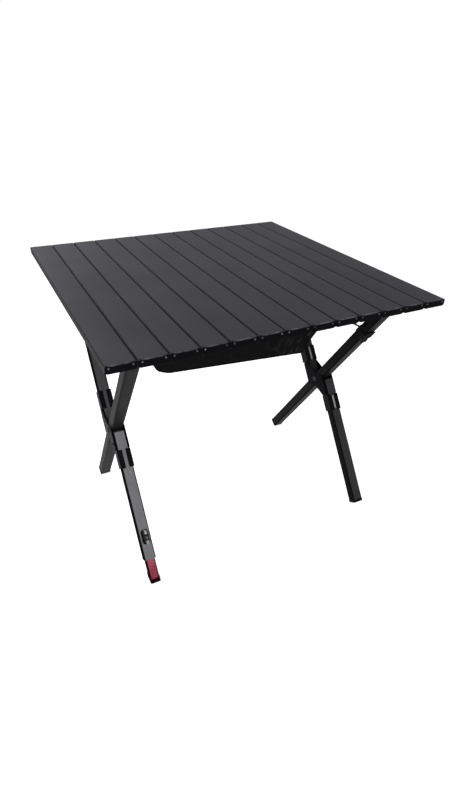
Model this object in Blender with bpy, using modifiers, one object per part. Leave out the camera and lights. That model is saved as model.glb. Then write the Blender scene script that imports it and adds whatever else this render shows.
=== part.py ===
"""A folding camping table: a roll-up top of aluminium slats on two scissor leg frames.

Metres, +Z up. The origin is on the floor under the middle of the top, X runs along the front
edge and Y to the back. Each leg is drawn in its own frame: X to the right, Y to the back of
the tube, Z up the tube, with its zero on the scissor hub.
"""

import math

import bmesh
import bpy
from mathutils import Matrix, Vector

# Clearances
SEAT_GAP = 0.0003           # between faces that touch
RUNNING_GAP = 0.0005        # beside a face that turns or slides
SINK = 0.0002               # how far fused shapes reach into each other
WELD = 0.00001

# Top
TOP_HEIGHT = 0.638
SLATS = 13
SLAT_WIDTH = 0.0529
SLAT_GAP = 0.001
SLAT_LENGTH = 0.700
SLAT_HEIGHT = 0.014
SLAT_WALL = 0.0012
SLAT_LIP = 0.0055
SLAT_EDGE = 0.0015
END_FLANGE = 0.004
END_FLANGE_ROUND = 0.005
END_PLUG = 0.022
CORD_RADIUS = 0.0015
CORD_HOLE = 0.0022
CORD_INSET = 0.018
CORD_DROP = 0.007

# Rails and their brackets
RAIL_DEPTH = 0.022
RAIL_HEIGHT = 0.020
RAIL_WALL = 0.0015
RAIL_ROUND = 0.002
RAIL_OVERHANG = 0.0025
PIVOT_DROP = 0.0122
BRACKET_PLATE = 0.0012
BRACKET_CHEEK = 0.0025
BRACKET_DEPTH = 0.022
BRACKET_ROUND = 0.0095
PIN_RADIUS = 0.004
PIN_HEAD_RADIUS = 0.0065
PIN_HEAD = 0.0015

# Scissor frames
FRAME_HALF = 0.297
FRAME_Y = -0.0045
PIVOT_REACH = 0.3867
SPREAD = math.radians(37.78)
LEG_WIDTH = 0.028
LEG_DEPTH = 0.0255
LEG_WALL = 0.0014
LEG_ROUND = 0.0032
LEG_PASS = 0.0035            # between the folded tubes, for the clips' backs
HEAD_OFFSET = 0.0067
HEAD_LENGTH = 0.026
HEAD_EYE = 0.0095
HEAD_PLUG = 0.022

# Hub
HUB_PIN_RADIUS = 0.004
HUB_PIN_HEAD_RADIUS = 0.0075
HUB_PIN_HEAD = 0.002
PLATE = 0.003
PLATE_HALF = 0.008
PLATE_REACH = 0.052
PLATE_SHOULDER = 0.004
PLATE_WAIST = 0.016
PLATE_ROUND = 0.005
RIVET_RADIUS = 0.0025
RIVET_HEAD_RADIUS = 0.0045
RIVET_HEAD = 0.0012
RIVET_TAIL = 0.0015
RIVET_REACH = 0.035
RIVET_INSET = 0.0027
STOP_FLANGE = 0.0012
STOP_PLUG = 0.012
CLIP_LENGTH = 0.044
CLIP_WALL = 0.0022
CLIP_LIP = 0.0015
CLIP_MOUTH = 0.008
CLIP_ROUND = 0.003

# Feet
FOOT_CAP = 0.0055
FOOT_TRIM = 0.0012
FOOT_RIM = 0.0006
FOOT_PLUG = 0.015
FOOT_SHOW = 0.049            # from the sleeve's end to the floor, along the leg
FOOT_TUBE_WIDTH = 0.0225
FOOT_TUBE_DEPTH = 0.0205
FOOT_TUBE_WALL = 0.0015
FOOT_TUBE_ROUND = 0.0025
FOOT_TUBE_INSIDE = 0.113
PAD_HEIGHT = 0.0075          # from the floor, in the world
PAD_RIM = 0.001
PAD_PLUG = 0.014

# Clamping knob
KNOB_UP = 0.054              # from the sleeve's end
KNOB_REACH = 0.018
KNOB_WAIST = 0.0038
KNOB_SLIMNESS = 6            # power of the cosine that draws the wings in
KNOB_THICKNESS = 0.009
KNOB_EDGE = 0.0014
KNOB_BOSS = 0.0055
KNOB_BOSS_HEIGHT = 0.003
KNOB_SHANK = 0.003
KNOB_SEAT_WIDTH = 0.0165
KNOB_SEAT_LENGTH = 0.034
KNOB_SEAT_ROUND = 0.006
KNOB_SEAT = 0.003

# Lugs and clip that hold the top to the rails
LUG_SLAT = 4                # slats from the middle one
LUG_WIDTH = 0.030
LUG_ARM = 0.003
LUG_REACH = 0.016
LUG_FOOT = 0.024
LUG_ROUND = 0.001
LUG_SHOULDER = 0.002
CENTRE_CLIP_WIDTH = 0.034
CENTRE_CLIP_WALL = 0.0025
CENTRE_CLIP_ROUND = 0.001
CENTRE_CLIP_HOOK = 0.0015

# Storage net
NET_TOP_LEFT = -0.205
NET_TOP_RIGHT = 0.240
NET_TOP_DEPTH = 0.330
NET_HANG = 0.0297            # from the rails' underside to the net's rim
NET_FLOOR_LEFT = -0.172
NET_FLOOR_RIGHT = 0.190
NET_FLOOR_DEPTH = 0.220
NET_DROP_LEFT = 0.109
NET_DROP_RIGHT = 0.133
NET_WALL = 0.003
NET_CORNER = 0.014
NET_SAG = 0.006
NET_ROWS = 4
NET_FLOOR_RINGS = (0.35, 0.7)  # shares of the way from the floor's edge to its middle
STRAP_WIDTH = 0.020
STRAP = 0.0015
STRAP_INSET = 0.060

# Webbing loop on the right outer leg
LOOP_PLACE = 0.258
LOOP_WIDTH = 0.022
LOOP_WALL = 0.0018
BUCKLE_WIDTH = 0.016
BUCKLE = 0.005

ROUND = 20                  # sides of a round piece
SMALL_ROUND = 12            # sides of a rivet or a small hole
KNOB_SIDES = 28
ARC_STEPS = 8               # steps round an eye or a cheek
FLOOR_BLOCK = (1, 1, 0.05)  # what lies below the floor, to trim the feet with

# Places that follow from the sizes above
PITCH = SLAT_WIDTH + SLAT_GAP
LEG_OFFSET = LEG_DEPTH + LEG_PASS
FRAME_X = PITCH / 2
RAIL_TOP = TOP_HEIGHT - SLAT_HEIGHT - SEAT_GAP
PIVOT_Z = RAIL_TOP - RAIL_HEIGHT - PIVOT_DROP
HUB_Z = PIVOT_Z - PIVOT_REACH * math.cos(SPREAD)
PIVOT_Y = PIVOT_REACH * math.sin(SPREAD)
FRONT_PIVOT_Y = FRAME_Y - PIVOT_Y
REAR_PIVOT_Y = FRAME_Y + PIVOT_Y
OUTER_SLIP = HEAD_OFFSET
INNER_SLIP = LEG_OFFSET - HEAD_OFFSET
OUTER_TILT = SPREAD - math.asin(OUTER_SLIP / PIVOT_REACH)
INNER_TILT = SPREAD - math.asin(INNER_SLIP / PIVOT_REACH)
OUTER_PIVOT_Z = math.sqrt(PIVOT_REACH**2 - OUTER_SLIP**2)
INNER_PIVOT_Z = math.sqrt(PIVOT_REACH**2 - INNER_SLIP**2)
PLATE_X = LEG_WIDTH / 2 + SEAT_GAP + PLATE / 2
BRACKET_INNER = LEG_WIDTH + 2 * RUNNING_GAP
BRACKET_OUTER = BRACKET_INNER + 2 * BRACKET_CHEEK
RAIL_LENGTH = 2 * FRAME_HALF + BRACKET_OUTER + 2 * RAIL_OVERHANG
NET_RIM_Z = RAIL_TOP - RAIL_HEIGHT - NET_HANG


def stop_height():
    """Height in the inner leg's frame at which the outer tube's face passes the lower tube."""
    opening = OUTER_TILT + INNER_TILT
    half = LEG_DEPTH / 2
    along = (LEG_OFFSET - half - half * math.cos(opening)) / math.sin(opening)
    return along * math.cos(opening) - half * math.sin(opening)


def floor_height(tilt, y):
    """Height in a leg's frame at which the floor lies, at a depth y of that frame."""
    return -(HUB_Z + y * math.sin(tilt)) / math.cos(tilt)


STOP_Z = stop_height() - RUNNING_GAP
SLEEVE_END = floor_height(-INNER_TILT, -LEG_OFFSET) + FOOT_SHOW
KNOB_Z = SLEEVE_END + KNOB_UP


def collection(name):
    group = bpy.data.collections.new(name)
    bpy.context.scene.collection.children.link(group)
    return group


def material(name, colour, roughness, metallic):
    """Principled material in one plain finish."""
    made = bpy.data.materials.new(name)
    made.use_nodes = True
    shader = made.node_tree.nodes["Principled BSDF"]
    shader.inputs["Base Color"].default_value = (*colour, 1.0)
    shader.inputs["Roughness"].default_value = roughness
    shader.inputs["Metallic"].default_value = metallic
    made.diffuse_color = (*colour, 1.0)
    return made


def fillet(corners, radii, steps=3):
    """Closed outline with each corner rounded by an arc of its own radius."""
    outline = []
    for i, radius in enumerate(radii):
        corner = Vector(corners[i])
        if radius == 0:
            outline.append(corner)
            continue
        before = (Vector(corners[i - 1]) - corner).normalized()
        after = (Vector(corners[(i + 1) % len(corners)]) - corner).normalized()
        half = before.angle(after) / 2
        centre = corner + (before + after).normalized() * radius / math.sin(half)
        first = corner + before * radius / math.tan(half) - centre
        last = corner + after * radius / math.tan(half) - centre
        start = math.atan2(first.y, first.x)
        sweep = math.remainder(math.atan2(last.y, last.x) - start, 2 * math.pi)
        for k in range(steps + 1):
            angle = start + sweep * k / steps
            outline.append(centre + radius * Vector((math.cos(angle), math.sin(angle))))
    return outline


def rectangle(width, height, radius, centre=(0, 0), steps=3):
    """Outline of a rectangle with rounded corners."""
    x, y = width / 2, height / 2
    corners = [(centre[0] + a * x, centre[1] + b * y) for a, b in ((-1, -1), (1, -1), (1, 1), (-1, 1))]
    return fillet(corners, [radius] * 4, steps)


def circle(radius, sides, centre=(0, 0)):
    turns = [2 * math.pi * k / sides for k in range(sides)]
    return [Vector((centre[0] + radius * math.cos(a), centre[1] + radius * math.sin(a))) for a in turns]


def prism(loops, thickness, turn=Matrix()):
    """Mesh of a flat outline with its holes, thickened evenly to both sides of its plane."""
    curve = bpy.data.curves.new("outline", "CURVE")
    curve.dimensions = "2D"
    curve.fill_mode = "BOTH"
    curve.extrude = thickness / 2
    for loop in loops:
        spline = curve.splines.new("POLY")
        spline.points.add(len(loop) - 1)
        for point, place in zip(spline.points, loop):
            point.co = (place[0], place[1], 0, 1)
        spline.use_cyclic_u = True
    drawn = bpy.data.objects.new("outline", curve)
    bpy.context.scene.collection.objects.link(drawn)
    graph = bpy.context.evaluated_depsgraph_get()
    mesh = bpy.data.meshes.new_from_object(drawn.evaluated_get(graph))
    bm = bmesh.new()
    bm.from_mesh(mesh)
    bmesh.ops.remove_doubles(bm, verts=bm.verts, dist=WELD)
    bmesh.ops.recalc_face_normals(bm, faces=bm.faces)
    bm.to_mesh(mesh)
    bm.free()
    mesh.transform(turn)
    bpy.data.objects.remove(drawn)
    bpy.data.curves.remove(curve)
    return mesh


def block(size):
    """Mesh of a box about its middle."""
    mesh = bpy.data.meshes.new("block")
    bm = bmesh.new()
    bmesh.ops.create_cube(bm, size=1)
    bmesh.ops.scale(bm, vec=size, verts=bm.verts)
    bm.to_mesh(mesh)
    bm.free()
    return mesh


def rod(radius, length, sides, turn=Matrix(), end_radius=None):
    """Mesh of a cylinder or a cone frustum along Z, about its middle."""
    mesh = bpy.data.meshes.new("rod")
    bm = bmesh.new()
    top = radius if end_radius is None else end_radius
    bmesh.ops.create_cone(bm, cap_ends=True, segments=sides, radius1=radius, radius2=top, depth=length)
    bm.to_mesh(mesh)
    bm.free()
    mesh.transform(turn)
    return mesh


# Turns that lay a drawing into another plane
SIDEWAYS = Matrix.Rotation(math.pi / 2, 4, "Z") @ Matrix.Rotation(math.pi / 2, 4, "X")
UPRIGHT = Matrix.Rotation(math.pi / 2, 4, "X")
ALONG_X = Matrix.Rotation(math.pi / 2, 4, "Y")
AGAINST_X = Matrix.Rotation(-math.pi / 2, 4, "Y")


def rig(name, place, tilt, parent=None):
    """Empty on a joint's axis, placed and tilted in the world."""
    empty = bpy.data.objects.new(name, None)
    rigs.objects.link(empty)
    empty.location = place
    empty.rotation_euler.x = tilt
    if parent:
        bpy.context.view_layer.update()
        empty.parent = parent
        empty.matrix_parent_inverse = parent.matrix_world.inverted()
    bpy.context.view_layer.update()
    return empty


def piece(name, mesh, finish, parent=None, place=(0, 0, 0)):
    """Solid of the table, hung on its rig."""
    mesh.name = name
    made = bpy.data.objects.new(name, mesh)
    table.objects.link(made)
    made.parent = parent
    made.location = place
    if not mesh.materials:
        mesh.materials.append(finish)
    mesh.shade_smooth()
    mesh.set_sharp_from_angle(angle=math.radians(35))
    return made


def shape(made, operation, mesh, place, parent=None):
    """Cut a shape from a piece, or fuse one to it."""
    tool = bpy.data.objects.new(made.name + "_" + operation.lower(), mesh)
    cutters.objects.link(tool)
    tool.parent = parent
    tool.location = place
    tool.hide_render = True
    tool.display_type = "WIRE"
    modifier = made.modifiers.new(tool.name, "BOOLEAN")
    modifier.operation = operation
    modifier.solver = "EXACT"
    modifier.object = tool


def cut(made, mesh, place, parent=None):
    shape(made, "DIFFERENCE", mesh, place, parent)


def fuse(made, mesh, place, parent=None):
    shape(made, "UNION", mesh, place, parent)


def cut_level(made, height=0.0, side=-1):
    """Trim a foot flat: remove what lies below a height of the world, or above it."""
    cut(made, block(FLOOR_BLOCK), (0, 0, height + side * FLOOR_BLOCK[2] / 2))


def baked(made):
    """Mesh of a piece with its modifiers applied, after which the piece is removed."""
    graph = bpy.context.evaluated_depsgraph_get()
    mesh = bpy.data.meshes.new_from_object(made.evaluated_get(graph))
    for modifier in made.modifiers:
        bpy.data.objects.remove(modifier.object)
    bpy.data.objects.remove(made)
    return mesh


def slat_section():
    """Open-bottomed channel with lips, its top face on zero."""
    half = SLAT_WIDTH / 2
    under = -SLAT_HEIGHT
    inside = half - SLAT_WALL
    lip = half - SLAT_LIP
    right = [
        (half, 0, SLAT_EDGE),
        (half, under, SLAT_WALL / 2),
        (lip, under, 0),
        (lip, under + SLAT_WALL, 0),
        (inside, under + SLAT_WALL, 0),
        (inside, -SLAT_WALL, 0),
    ]
    left = [(-x, z, radius) for x, z, radius in reversed(right)]
    corners = right + left
    return fillet([c[:2] for c in corners], [c[2] for c in corners])


def slat_mesh():
    """Slat with its two end caps pressed in, drilled for the elastic cords."""
    made = piece("slat", prism([slat_section()], SLAT_LENGTH - 2 * END_FLANGE + 2 * SINK, UPRIGHT), aluminium)
    proud = SINK
    width = SLAT_WIDTH + 2 * proud
    height = SLAT_HEIGHT
    right = [(width / 2, proud - height), (width / 2, proud)]
    corners = [(-x, z) for x, z in reversed(right)] + right
    flange = fillet(corners, [SLAT_EDGE, END_FLANGE_ROUND, END_FLANGE_ROUND, SLAT_EDGE])
    plug = (
        SLAT_WIDTH - 2 * SLAT_WALL + 2 * SINK,
        END_PLUG + END_FLANGE / 2,
        SLAT_HEIGHT - 2 * SLAT_WALL + 2 * SINK,
    )
    end = SLAT_LENGTH / 2
    for side in (-1, 1):
        fuse(made, prism([flange], END_FLANGE, UPRIGHT), (0, side * (end - END_FLANGE / 2), 0))
        fuse(made, block(plug), (0, side * (end - END_FLANGE / 2 - plug[1] / 2), -SLAT_HEIGHT / 2))
        hole = rod(CORD_HOLE, 2 * SLAT_WIDTH, SMALL_ROUND, ALONG_X)
        cut(made, hole, (0, side * (end - CORD_INSET), -CORD_DROP))
    return baked(made)


def make_top():
    """Thirteen slats that roll up from the middle one, each hinged where its top edge meets the next."""
    mesh = slat_mesh()
    middle = SLATS // 2 + 1
    piece(f"slat_{middle:02d}", mesh, aluminium, None, (0, 0, TOP_HEIGHT))
    for side in (-1, 1):
        parent = None
        for step in range(1, SLATS // 2 + 1):
            number = middle + side * step
            edge = (side * (step - 0.5) * PITCH, 0, TOP_HEIGHT)
            parent = rig(f"slat_edge_{number:02d}", edge, 0, parent)
            piece(f"slat_{number:02d}", mesh, aluminium, parent, (side * PITCH / 2, 0, 0))
            if step == LUG_SLAT:
                word = "left" if side < 0 else "right"
                rail_lug(f"front_lug_{word}", parent, side * PITCH / 2, FRONT_PIVOT_Y, -1)
                rail_lug(f"rear_lug_{word}", parent, side * PITCH / 2, REAR_PIVOT_Y, 1)


def rail_lug(name, parent, x, rail_y, outward):
    """Plastic lug in a slat's channel, with an arm that hangs on the rail's outer side."""
    wall = rail_y + outward * (RAIL_DEPTH / 2 + RUNNING_GAP)
    under = -SLAT_HEIGHT + SLAT_WALL + SEAT_GAP
    ceiling = -SLAT_WALL - SEAT_GAP
    tip = -SLAT_HEIGHT - LUG_REACH
    corners = [
        (wall - outward * LUG_FOOT, ceiling),
        (wall + outward * LUG_ARM, ceiling),
        (wall + outward * LUG_ARM, tip),
        (wall, tip),
        (wall, under),
        (wall - outward * LUG_FOOT, under),
    ]
    small = LUG_ROUND
    outline = fillet(corners, [small, LUG_SHOULDER, small, small, 0, small], 2)
    piece(name, prism([outline], LUG_WIDTH, SIDEWAYS), black_plastic, parent, (x, 0, 0))


def elastic_cords():
    """Two cords that string the slats together."""
    for word, side in (("front", -1), ("rear", 1)):
        length = (SLATS - 1) * PITCH
        cord = rod(CORD_RADIUS, length, SMALL_ROUND, ALONG_X)
        place = (0, side * (SLAT_LENGTH / 2 - CORD_INSET), TOP_HEIGHT - CORD_DROP)
        piece(f"elastic_cord_{word}", cord, elastic, None, place)


def rail(name, parent, place):
    """Square tube under the slats."""
    outer = rectangle(RAIL_DEPTH, RAIL_HEIGHT, RAIL_ROUND)
    inner = rectangle(RAIL_DEPTH - 2 * RAIL_WALL, RAIL_HEIGHT - 2 * RAIL_WALL, RAIL_ROUND / 2)
    piece(name, prism([outer, inner], RAIL_LENGTH, SIDEWAYS), aluminium, parent, place)


def bracket(name, parent, place):
    """U of sheet steel under a rail, with its pivot pin riveted across it. Its zero is the pivot."""
    plate_middle = PIVOT_DROP - SEAT_GAP - BRACKET_PLATE / 2
    plate = block((BRACKET_OUTER + 2 * SINK, BRACKET_DEPTH, BRACKET_PLATE))
    plate.transform(Matrix.Translation((0, 0, plate_middle)))
    made = piece(name, plate, steel, parent, place)
    half = BRACKET_DEPTH / 2 - SINK
    arc = [math.pi + math.pi * k / ARC_STEPS for k in range(ARC_STEPS + 1)]
    cheek = [(half, plate_middle), (-half, plate_middle)]
    cheek += [(BRACKET_ROUND * math.cos(a), BRACKET_ROUND * math.sin(a)) for a in arc]
    pin_length = BRACKET_OUTER + PIN_HEAD / 2
    for side in (-1, 1):
        x = side * (BRACKET_INNER + BRACKET_CHEEK) / 2
        fuse(made, prism([cheek], BRACKET_CHEEK, SIDEWAYS), (place[0] + x, place[1], place[2]), parent)
    fuse(made, rod(PIN_RADIUS, pin_length, ROUND, ALONG_X), place, parent)
    for side, turn in ((-1, AGAINST_X), (1, ALONG_X)):
        head = rod(PIN_HEAD_RADIUS, PIN_HEAD + SINK, ROUND, turn, PIN_HEAD_RADIUS - PIN_HEAD / 2)
        x = side * (BRACKET_OUTER + PIN_HEAD - SINK) / 2
        fuse(made, head, (place[0] + x, place[1], place[2]), parent)


def centre_clip():
    """Plastic clip on the middle slat that grips the front rail."""
    half = RAIL_DEPTH / 2 + RUNNING_GAP
    ceiling = TOP_HEIGHT - SLAT_WALL - SEAT_GAP
    under = TOP_HEIGHT - SLAT_HEIGHT + SLAT_WALL
    foot = RAIL_TOP - RAIL_HEIGHT - SEAT_GAP
    wall = CENTRE_CLIP_WALL
    corners = [
        (-half - wall, ceiling),
        (half + wall, ceiling),
        (half + wall, foot - wall),
        (half - 2 * wall, foot - wall),
        (half - 2 * wall, foot),
        (half, foot),
        (half, under),
        (-half, under),
        (-half, foot),
        (2 * wall - half, foot),
        (2 * wall - half, foot - wall),
        (-half - wall, foot - wall),
    ]
    small = CENTRE_CLIP_ROUND
    radii = [small, small, CENTRE_CLIP_HOOK, small, 0, 0, 0, 0, 0, 0, small, CENTRE_CLIP_HOOK]
    outline = fillet(corners, radii, 2)
    clip = prism([outline], CENTRE_CLIP_WIDTH, SIDEWAYS)
    piece("centre_clip", clip, black_plastic, None, (0, FRONT_PIVOT_Y, 0))


def leg_loops(width=LEG_WIDTH, depth=LEG_DEPTH, wall=LEG_WALL, radius=LEG_ROUND):
    """Section of a rectangular tube."""
    outer = rectangle(width, depth, radius)
    inner = rectangle(width - 2 * wall, depth - 2 * wall, max(radius - wall, wall / 2))
    return [outer, inner]


def tube(name, finish, parent, x, y, low, high, **section):
    """Length of leg tube between two heights of its leg's frame."""
    mesh = prism(leg_loops(**section), high - low)
    return piece(name, mesh, finish, parent, (x, y, (low + high) / 2))


def plug_block(length):
    """Plug that fits the bore of a leg tube."""
    clearance = 2 * LEG_WALL + 2 * SEAT_GAP
    return prism([rectangle(LEG_WIDTH - clearance, LEG_DEPTH - clearance, LEG_ROUND - LEG_WALL)], length)


def leg_head(name, parent, x, y, pivot_z):
    """Plastic plug with the eye that turns on a bracket's pin, ahead of the tube's middle."""
    eye = Vector((-HEAD_OFFSET, 0))
    base = SEAT_GAP - HEAD_LENGTH
    ends = [Vector((side * LEG_DEPTH / 2, base)) for side in (1, -1)]
    turns = []
    for side, end in zip((1, -1), ends):
        away = end - eye
        turns.append(math.atan2(away.y, away.x) + side * math.acos(HEAD_EYE / away.length))
    sweep = (turns[1] - turns[0]) % (2 * math.pi)
    outline = [ends[1], ends[0]]
    for k in range(ARC_STEPS + 1):
        angle = turns[0] + sweep * k / ARC_STEPS
        outline.append(eye + HEAD_EYE * Vector((math.cos(angle), math.sin(angle))))
    made = piece(name, prism([outline], LEG_WIDTH, SIDEWAYS), black_plastic, parent, (x, y, pivot_z))
    plug = HEAD_PLUG + SINK
    fuse(made, plug_block(plug), (x, y, pivot_z + base + SINK - plug / 2), parent)
    hole = rod(PIN_RADIUS + SEAT_GAP, 2 * LEG_WIDTH, ROUND, ALONG_X)
    cut(made, hole, (x, y - HEAD_OFFSET, pivot_z), parent)


def foot_cap(name, parent, x, y, end):
    """Plastic cap in a tube's lower end, trimmed flat on the floor."""
    thickness = FOOT_CAP + FOOT_TRIM
    rim = rectangle(LEG_WIDTH + 2 * FOOT_RIM, LEG_DEPTH + 2 * FOOT_RIM, LEG_ROUND)
    made = piece(name, prism([rim], thickness), black_plastic, parent, (x, y, end - SEAT_GAP - thickness / 2))
    plug = FOOT_PLUG + SINK
    fuse(made, plug_block(plug), (x, y, end - SEAT_GAP - SINK + plug / 2), parent)
    cut_level(made)


def outer_leg(word, hub, x):
    """Straight leg from the front rail through the hub to the back foot."""
    corner = floor_height(OUTER_TILT, -LEG_DEPTH / 2)
    end = corner + FOOT_CAP
    top = OUTER_PIVOT_Z - HEAD_LENGTH
    leg = tube(f"outer_leg_{word}", aluminium, hub, x, 0, end, top)
    cut(leg, rod(HUB_PIN_RADIUS + SEAT_GAP, 2 * LEG_WIDTH, ROUND, ALONG_X), (x, 0, 0), hub)
    leg_head(f"outer_head_{word}", hub, x, 0, OUTER_PIVOT_Z)
    foot_cap(f"outer_foot_{word}", hub, x, 0, end)


def plate_outline():
    """Stepped plate that ties the lower tube, ahead of the hub, to the upper one behind it."""
    near = LEG_OFFSET - PLATE_HALF
    far = LEG_OFFSET + PLATE_HALF
    front = [
        (-near, -PLATE_REACH),
        (-far, -PLATE_REACH),
        (-far, PLATE_SHOULDER),
        (-PLATE_HALF, PLATE_WAIST),
    ]
    corners = front + [(-y, -z) for y, z in front]
    return fillet(corners, [PLATE_ROUND] * len(corners))


def rivet_places():
    """Rivets of a hub plate, one in each tube."""
    y = LEG_OFFSET - RIVET_INSET
    return [(-y, -RIVET_REACH), (y, RIVET_REACH)]


def hub_plate(name, hub, x, side):
    """Plate on one side of a scissor hub, with the two rivets that hold it."""
    centre = x + side * PLATE_X
    pin_hole = circle(HUB_PIN_RADIUS + SEAT_GAP, ROUND)
    made = piece(name, prism([plate_outline(), pin_hole], PLATE, SIDEWAYS), dark_steel, hub, (centre, 0, 0))
    face = x + side * (PLATE_X + PLATE / 2)
    shank = PLATE + SEAT_GAP + LEG_WALL + RIVET_TAIL
    turn = ALONG_X if side > 0 else AGAINST_X
    for y, z in rivet_places():
        fuse(made, rod(RIVET_RADIUS, shank, SMALL_ROUND, turn), (face - side * shank / 2, y, z), hub)
        head = rod(RIVET_HEAD_RADIUS, RIVET_HEAD + SINK, SMALL_ROUND, turn, RIVET_RADIUS)
        fuse(made, head, (face + side * (RIVET_HEAD - SINK) / 2, y, z), hub)


def hub_pin(name, hub, x):
    """Headed pin across a scissor hub."""
    span = LEG_WIDTH + 2 * (SEAT_GAP + PLATE + SEAT_GAP)
    made = piece(name, rod(HUB_PIN_RADIUS, span + HUB_PIN_HEAD, ROUND, ALONG_X), steel, hub, (x, 0, 0))
    for side, turn in ((-1, AGAINST_X), (1, ALONG_X)):
        head = rod(HUB_PIN_HEAD_RADIUS, HUB_PIN_HEAD, ROUND, turn, HUB_PIN_HEAD_RADIUS - HUB_PIN_HEAD / 2)
        fuse(made, head, (x + side * (span + HUB_PIN_HEAD) / 2, 0, 0), hub)


def leg_clip(name, hub, x, y, z):
    """Plastic saddle round the sides and back of a tube, with a lip on each front corner."""
    inner_x = LEG_WIDTH / 2 + SEAT_GAP
    inner_y = LEG_DEPTH / 2 + SEAT_GAP
    outer_x = inner_x + CLIP_WALL
    front = -inner_y - CLIP_LIP
    mouth = CLIP_MOUTH / 2
    right = [
        (mouth, front, CLIP_LIP / 2),
        (outer_x, front, CLIP_ROUND),
        (outer_x, inner_y + CLIP_WALL, CLIP_ROUND),
    ]
    inside = [(inner_x, inner_y, 0), (inner_x, -inner_y, 0), (mouth, -inner_y, 0)]
    outer = right + [(-a, b, radius) for a, b, radius in reversed(right)]
    inner = [(-a, b, radius) for a, b, radius in reversed(inside)] + inside
    corners = outer + inner
    outline = fillet([c[:2] for c in corners], [c[2] for c in corners])
    piece(name, prism([outline], CLIP_LENGTH), black_plastic, hub, (x, y, z))


def stop_plug(name, hub, x):
    """Black plug in the lower tube's upper end, on which the outer tube stops."""
    flange = prism([rectangle(LEG_WIDTH, LEG_DEPTH, LEG_ROUND)], STOP_FLANGE)
    made = piece(name, flange, black_plastic, hub, (x, -LEG_OFFSET, STOP_Z - STOP_FLANGE / 2))
    plug = STOP_PLUG + SINK
    low = STOP_Z - STOP_FLANGE
    fuse(made, plug_block(plug), (x, -LEG_OFFSET, low + SINK - plug / 2), hub)


def inner_leg(word, hub, x, lower_end):
    """Stepped leg: a lower tube ahead of the hub and an upper tube behind it."""
    tube_top = STOP_Z - STOP_FLANGE - SEAT_GAP
    upper_end = INNER_PIVOT_Z - HEAD_LENGTH
    lower = tube(f"inner_lower_{word}", aluminium, hub, x, -LEG_OFFSET, lower_end, tube_top)
    upper = tube(f"inner_upper_{word}", aluminium, hub, x, LEG_OFFSET, -tube_top, upper_end)
    bottom = STOP_FLANGE + SINK
    closing = prism([rectangle(LEG_WIDTH - LEG_WALL, LEG_DEPTH - LEG_WALL, LEG_ROUND - LEG_WALL)], bottom)
    fuse(upper, closing, (x, LEG_OFFSET, SINK - tube_top + bottom / 2), hub)
    for leg, (y, z) in zip((lower, upper), rivet_places()):
        cut(leg, rod(RIVET_RADIUS + SEAT_GAP, 2 * LEG_WIDTH, SMALL_ROUND, ALONG_X), (x, y, z), hub)
    stop_plug(f"stop_plug_{word}", hub, x)
    leg_head(f"inner_head_{word}", hub, x, LEG_OFFSET, INNER_PIVOT_Z)
    hub_plate(f"hub_plate_{word}_outer", hub, x, -1 if word == "left" else 1)
    hub_plate(f"hub_plate_{word}_inner", hub, x, 1 if word == "left" else -1)
    hub_pin(f"hub_pin_{word}", hub, x)
    clip_z = PLATE_REACH + SEAT_GAP + CLIP_LENGTH / 2
    leg_clip(f"lower_clip_{word}", hub, x, -LEG_OFFSET, -clip_z)
    leg_clip(f"upper_clip_{word}", hub, x, LEG_OFFSET, clip_z)
    return lower


def levelling_foot(slide, x):
    """Inner tube that slides in the left front leg, with a rubber pad cut to the floor."""
    y = -LEG_OFFSET
    reach = FOOT_TUBE_DEPTH / 2 + PAD_RIM
    low = floor_height(-INNER_TILT, y - reach) - PAD_RIM
    high = floor_height(-INNER_TILT, y + reach) + PAD_HEIGHT / math.cos(INNER_TILT)
    section = {
        "width": FOOT_TUBE_WIDTH,
        "depth": FOOT_TUBE_DEPTH,
        "wall": FOOT_TUBE_WALL,
        "radius": FOOT_TUBE_ROUND,
    }
    foot = tube("levelling_foot", red_paint, slide, x, y, low, SLEEVE_END + FOOT_TUBE_INSIDE, **section)
    cut_level(foot, PAD_HEIGHT + SEAT_GAP)
    around = rectangle(FOOT_TUBE_WIDTH + 2 * PAD_RIM, FOOT_TUBE_DEPTH + 2 * PAD_RIM, FOOT_TUBE_ROUND)
    pad = piece("foot_pad", prism([around], high - low), rubber, slide, (x, y, (low + high) / 2))
    cut_level(pad, PAD_HEIGHT, 1)
    slack = 2 * FOOT_TUBE_WALL + 2 * SEAT_GAP
    bore = rectangle(FOOT_TUBE_WIDTH - slack, FOOT_TUBE_DEPTH - slack, FOOT_TUBE_ROUND - FOOT_TUBE_WALL)
    bottom = low + PAD_RIM / 2
    fuse(pad, prism([bore], high + PAD_PLUG - bottom), (x, y, (bottom + high + PAD_PLUG) / 2), slide)
    cut_level(pad)


def knob_outline():
    """Two wings about a waist: the radius swells with a power of the turn's cosine."""
    outline = []
    for k in range(KNOB_SIDES):
        turn = 2 * math.pi * k / KNOB_SIDES
        radius = KNOB_WAIST + (KNOB_REACH - KNOB_WAIST) * math.cos(turn) ** KNOB_SLIMNESS
        outline.append(Vector((radius * math.sin(turn), radius * math.cos(turn))))
    return outline


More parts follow.
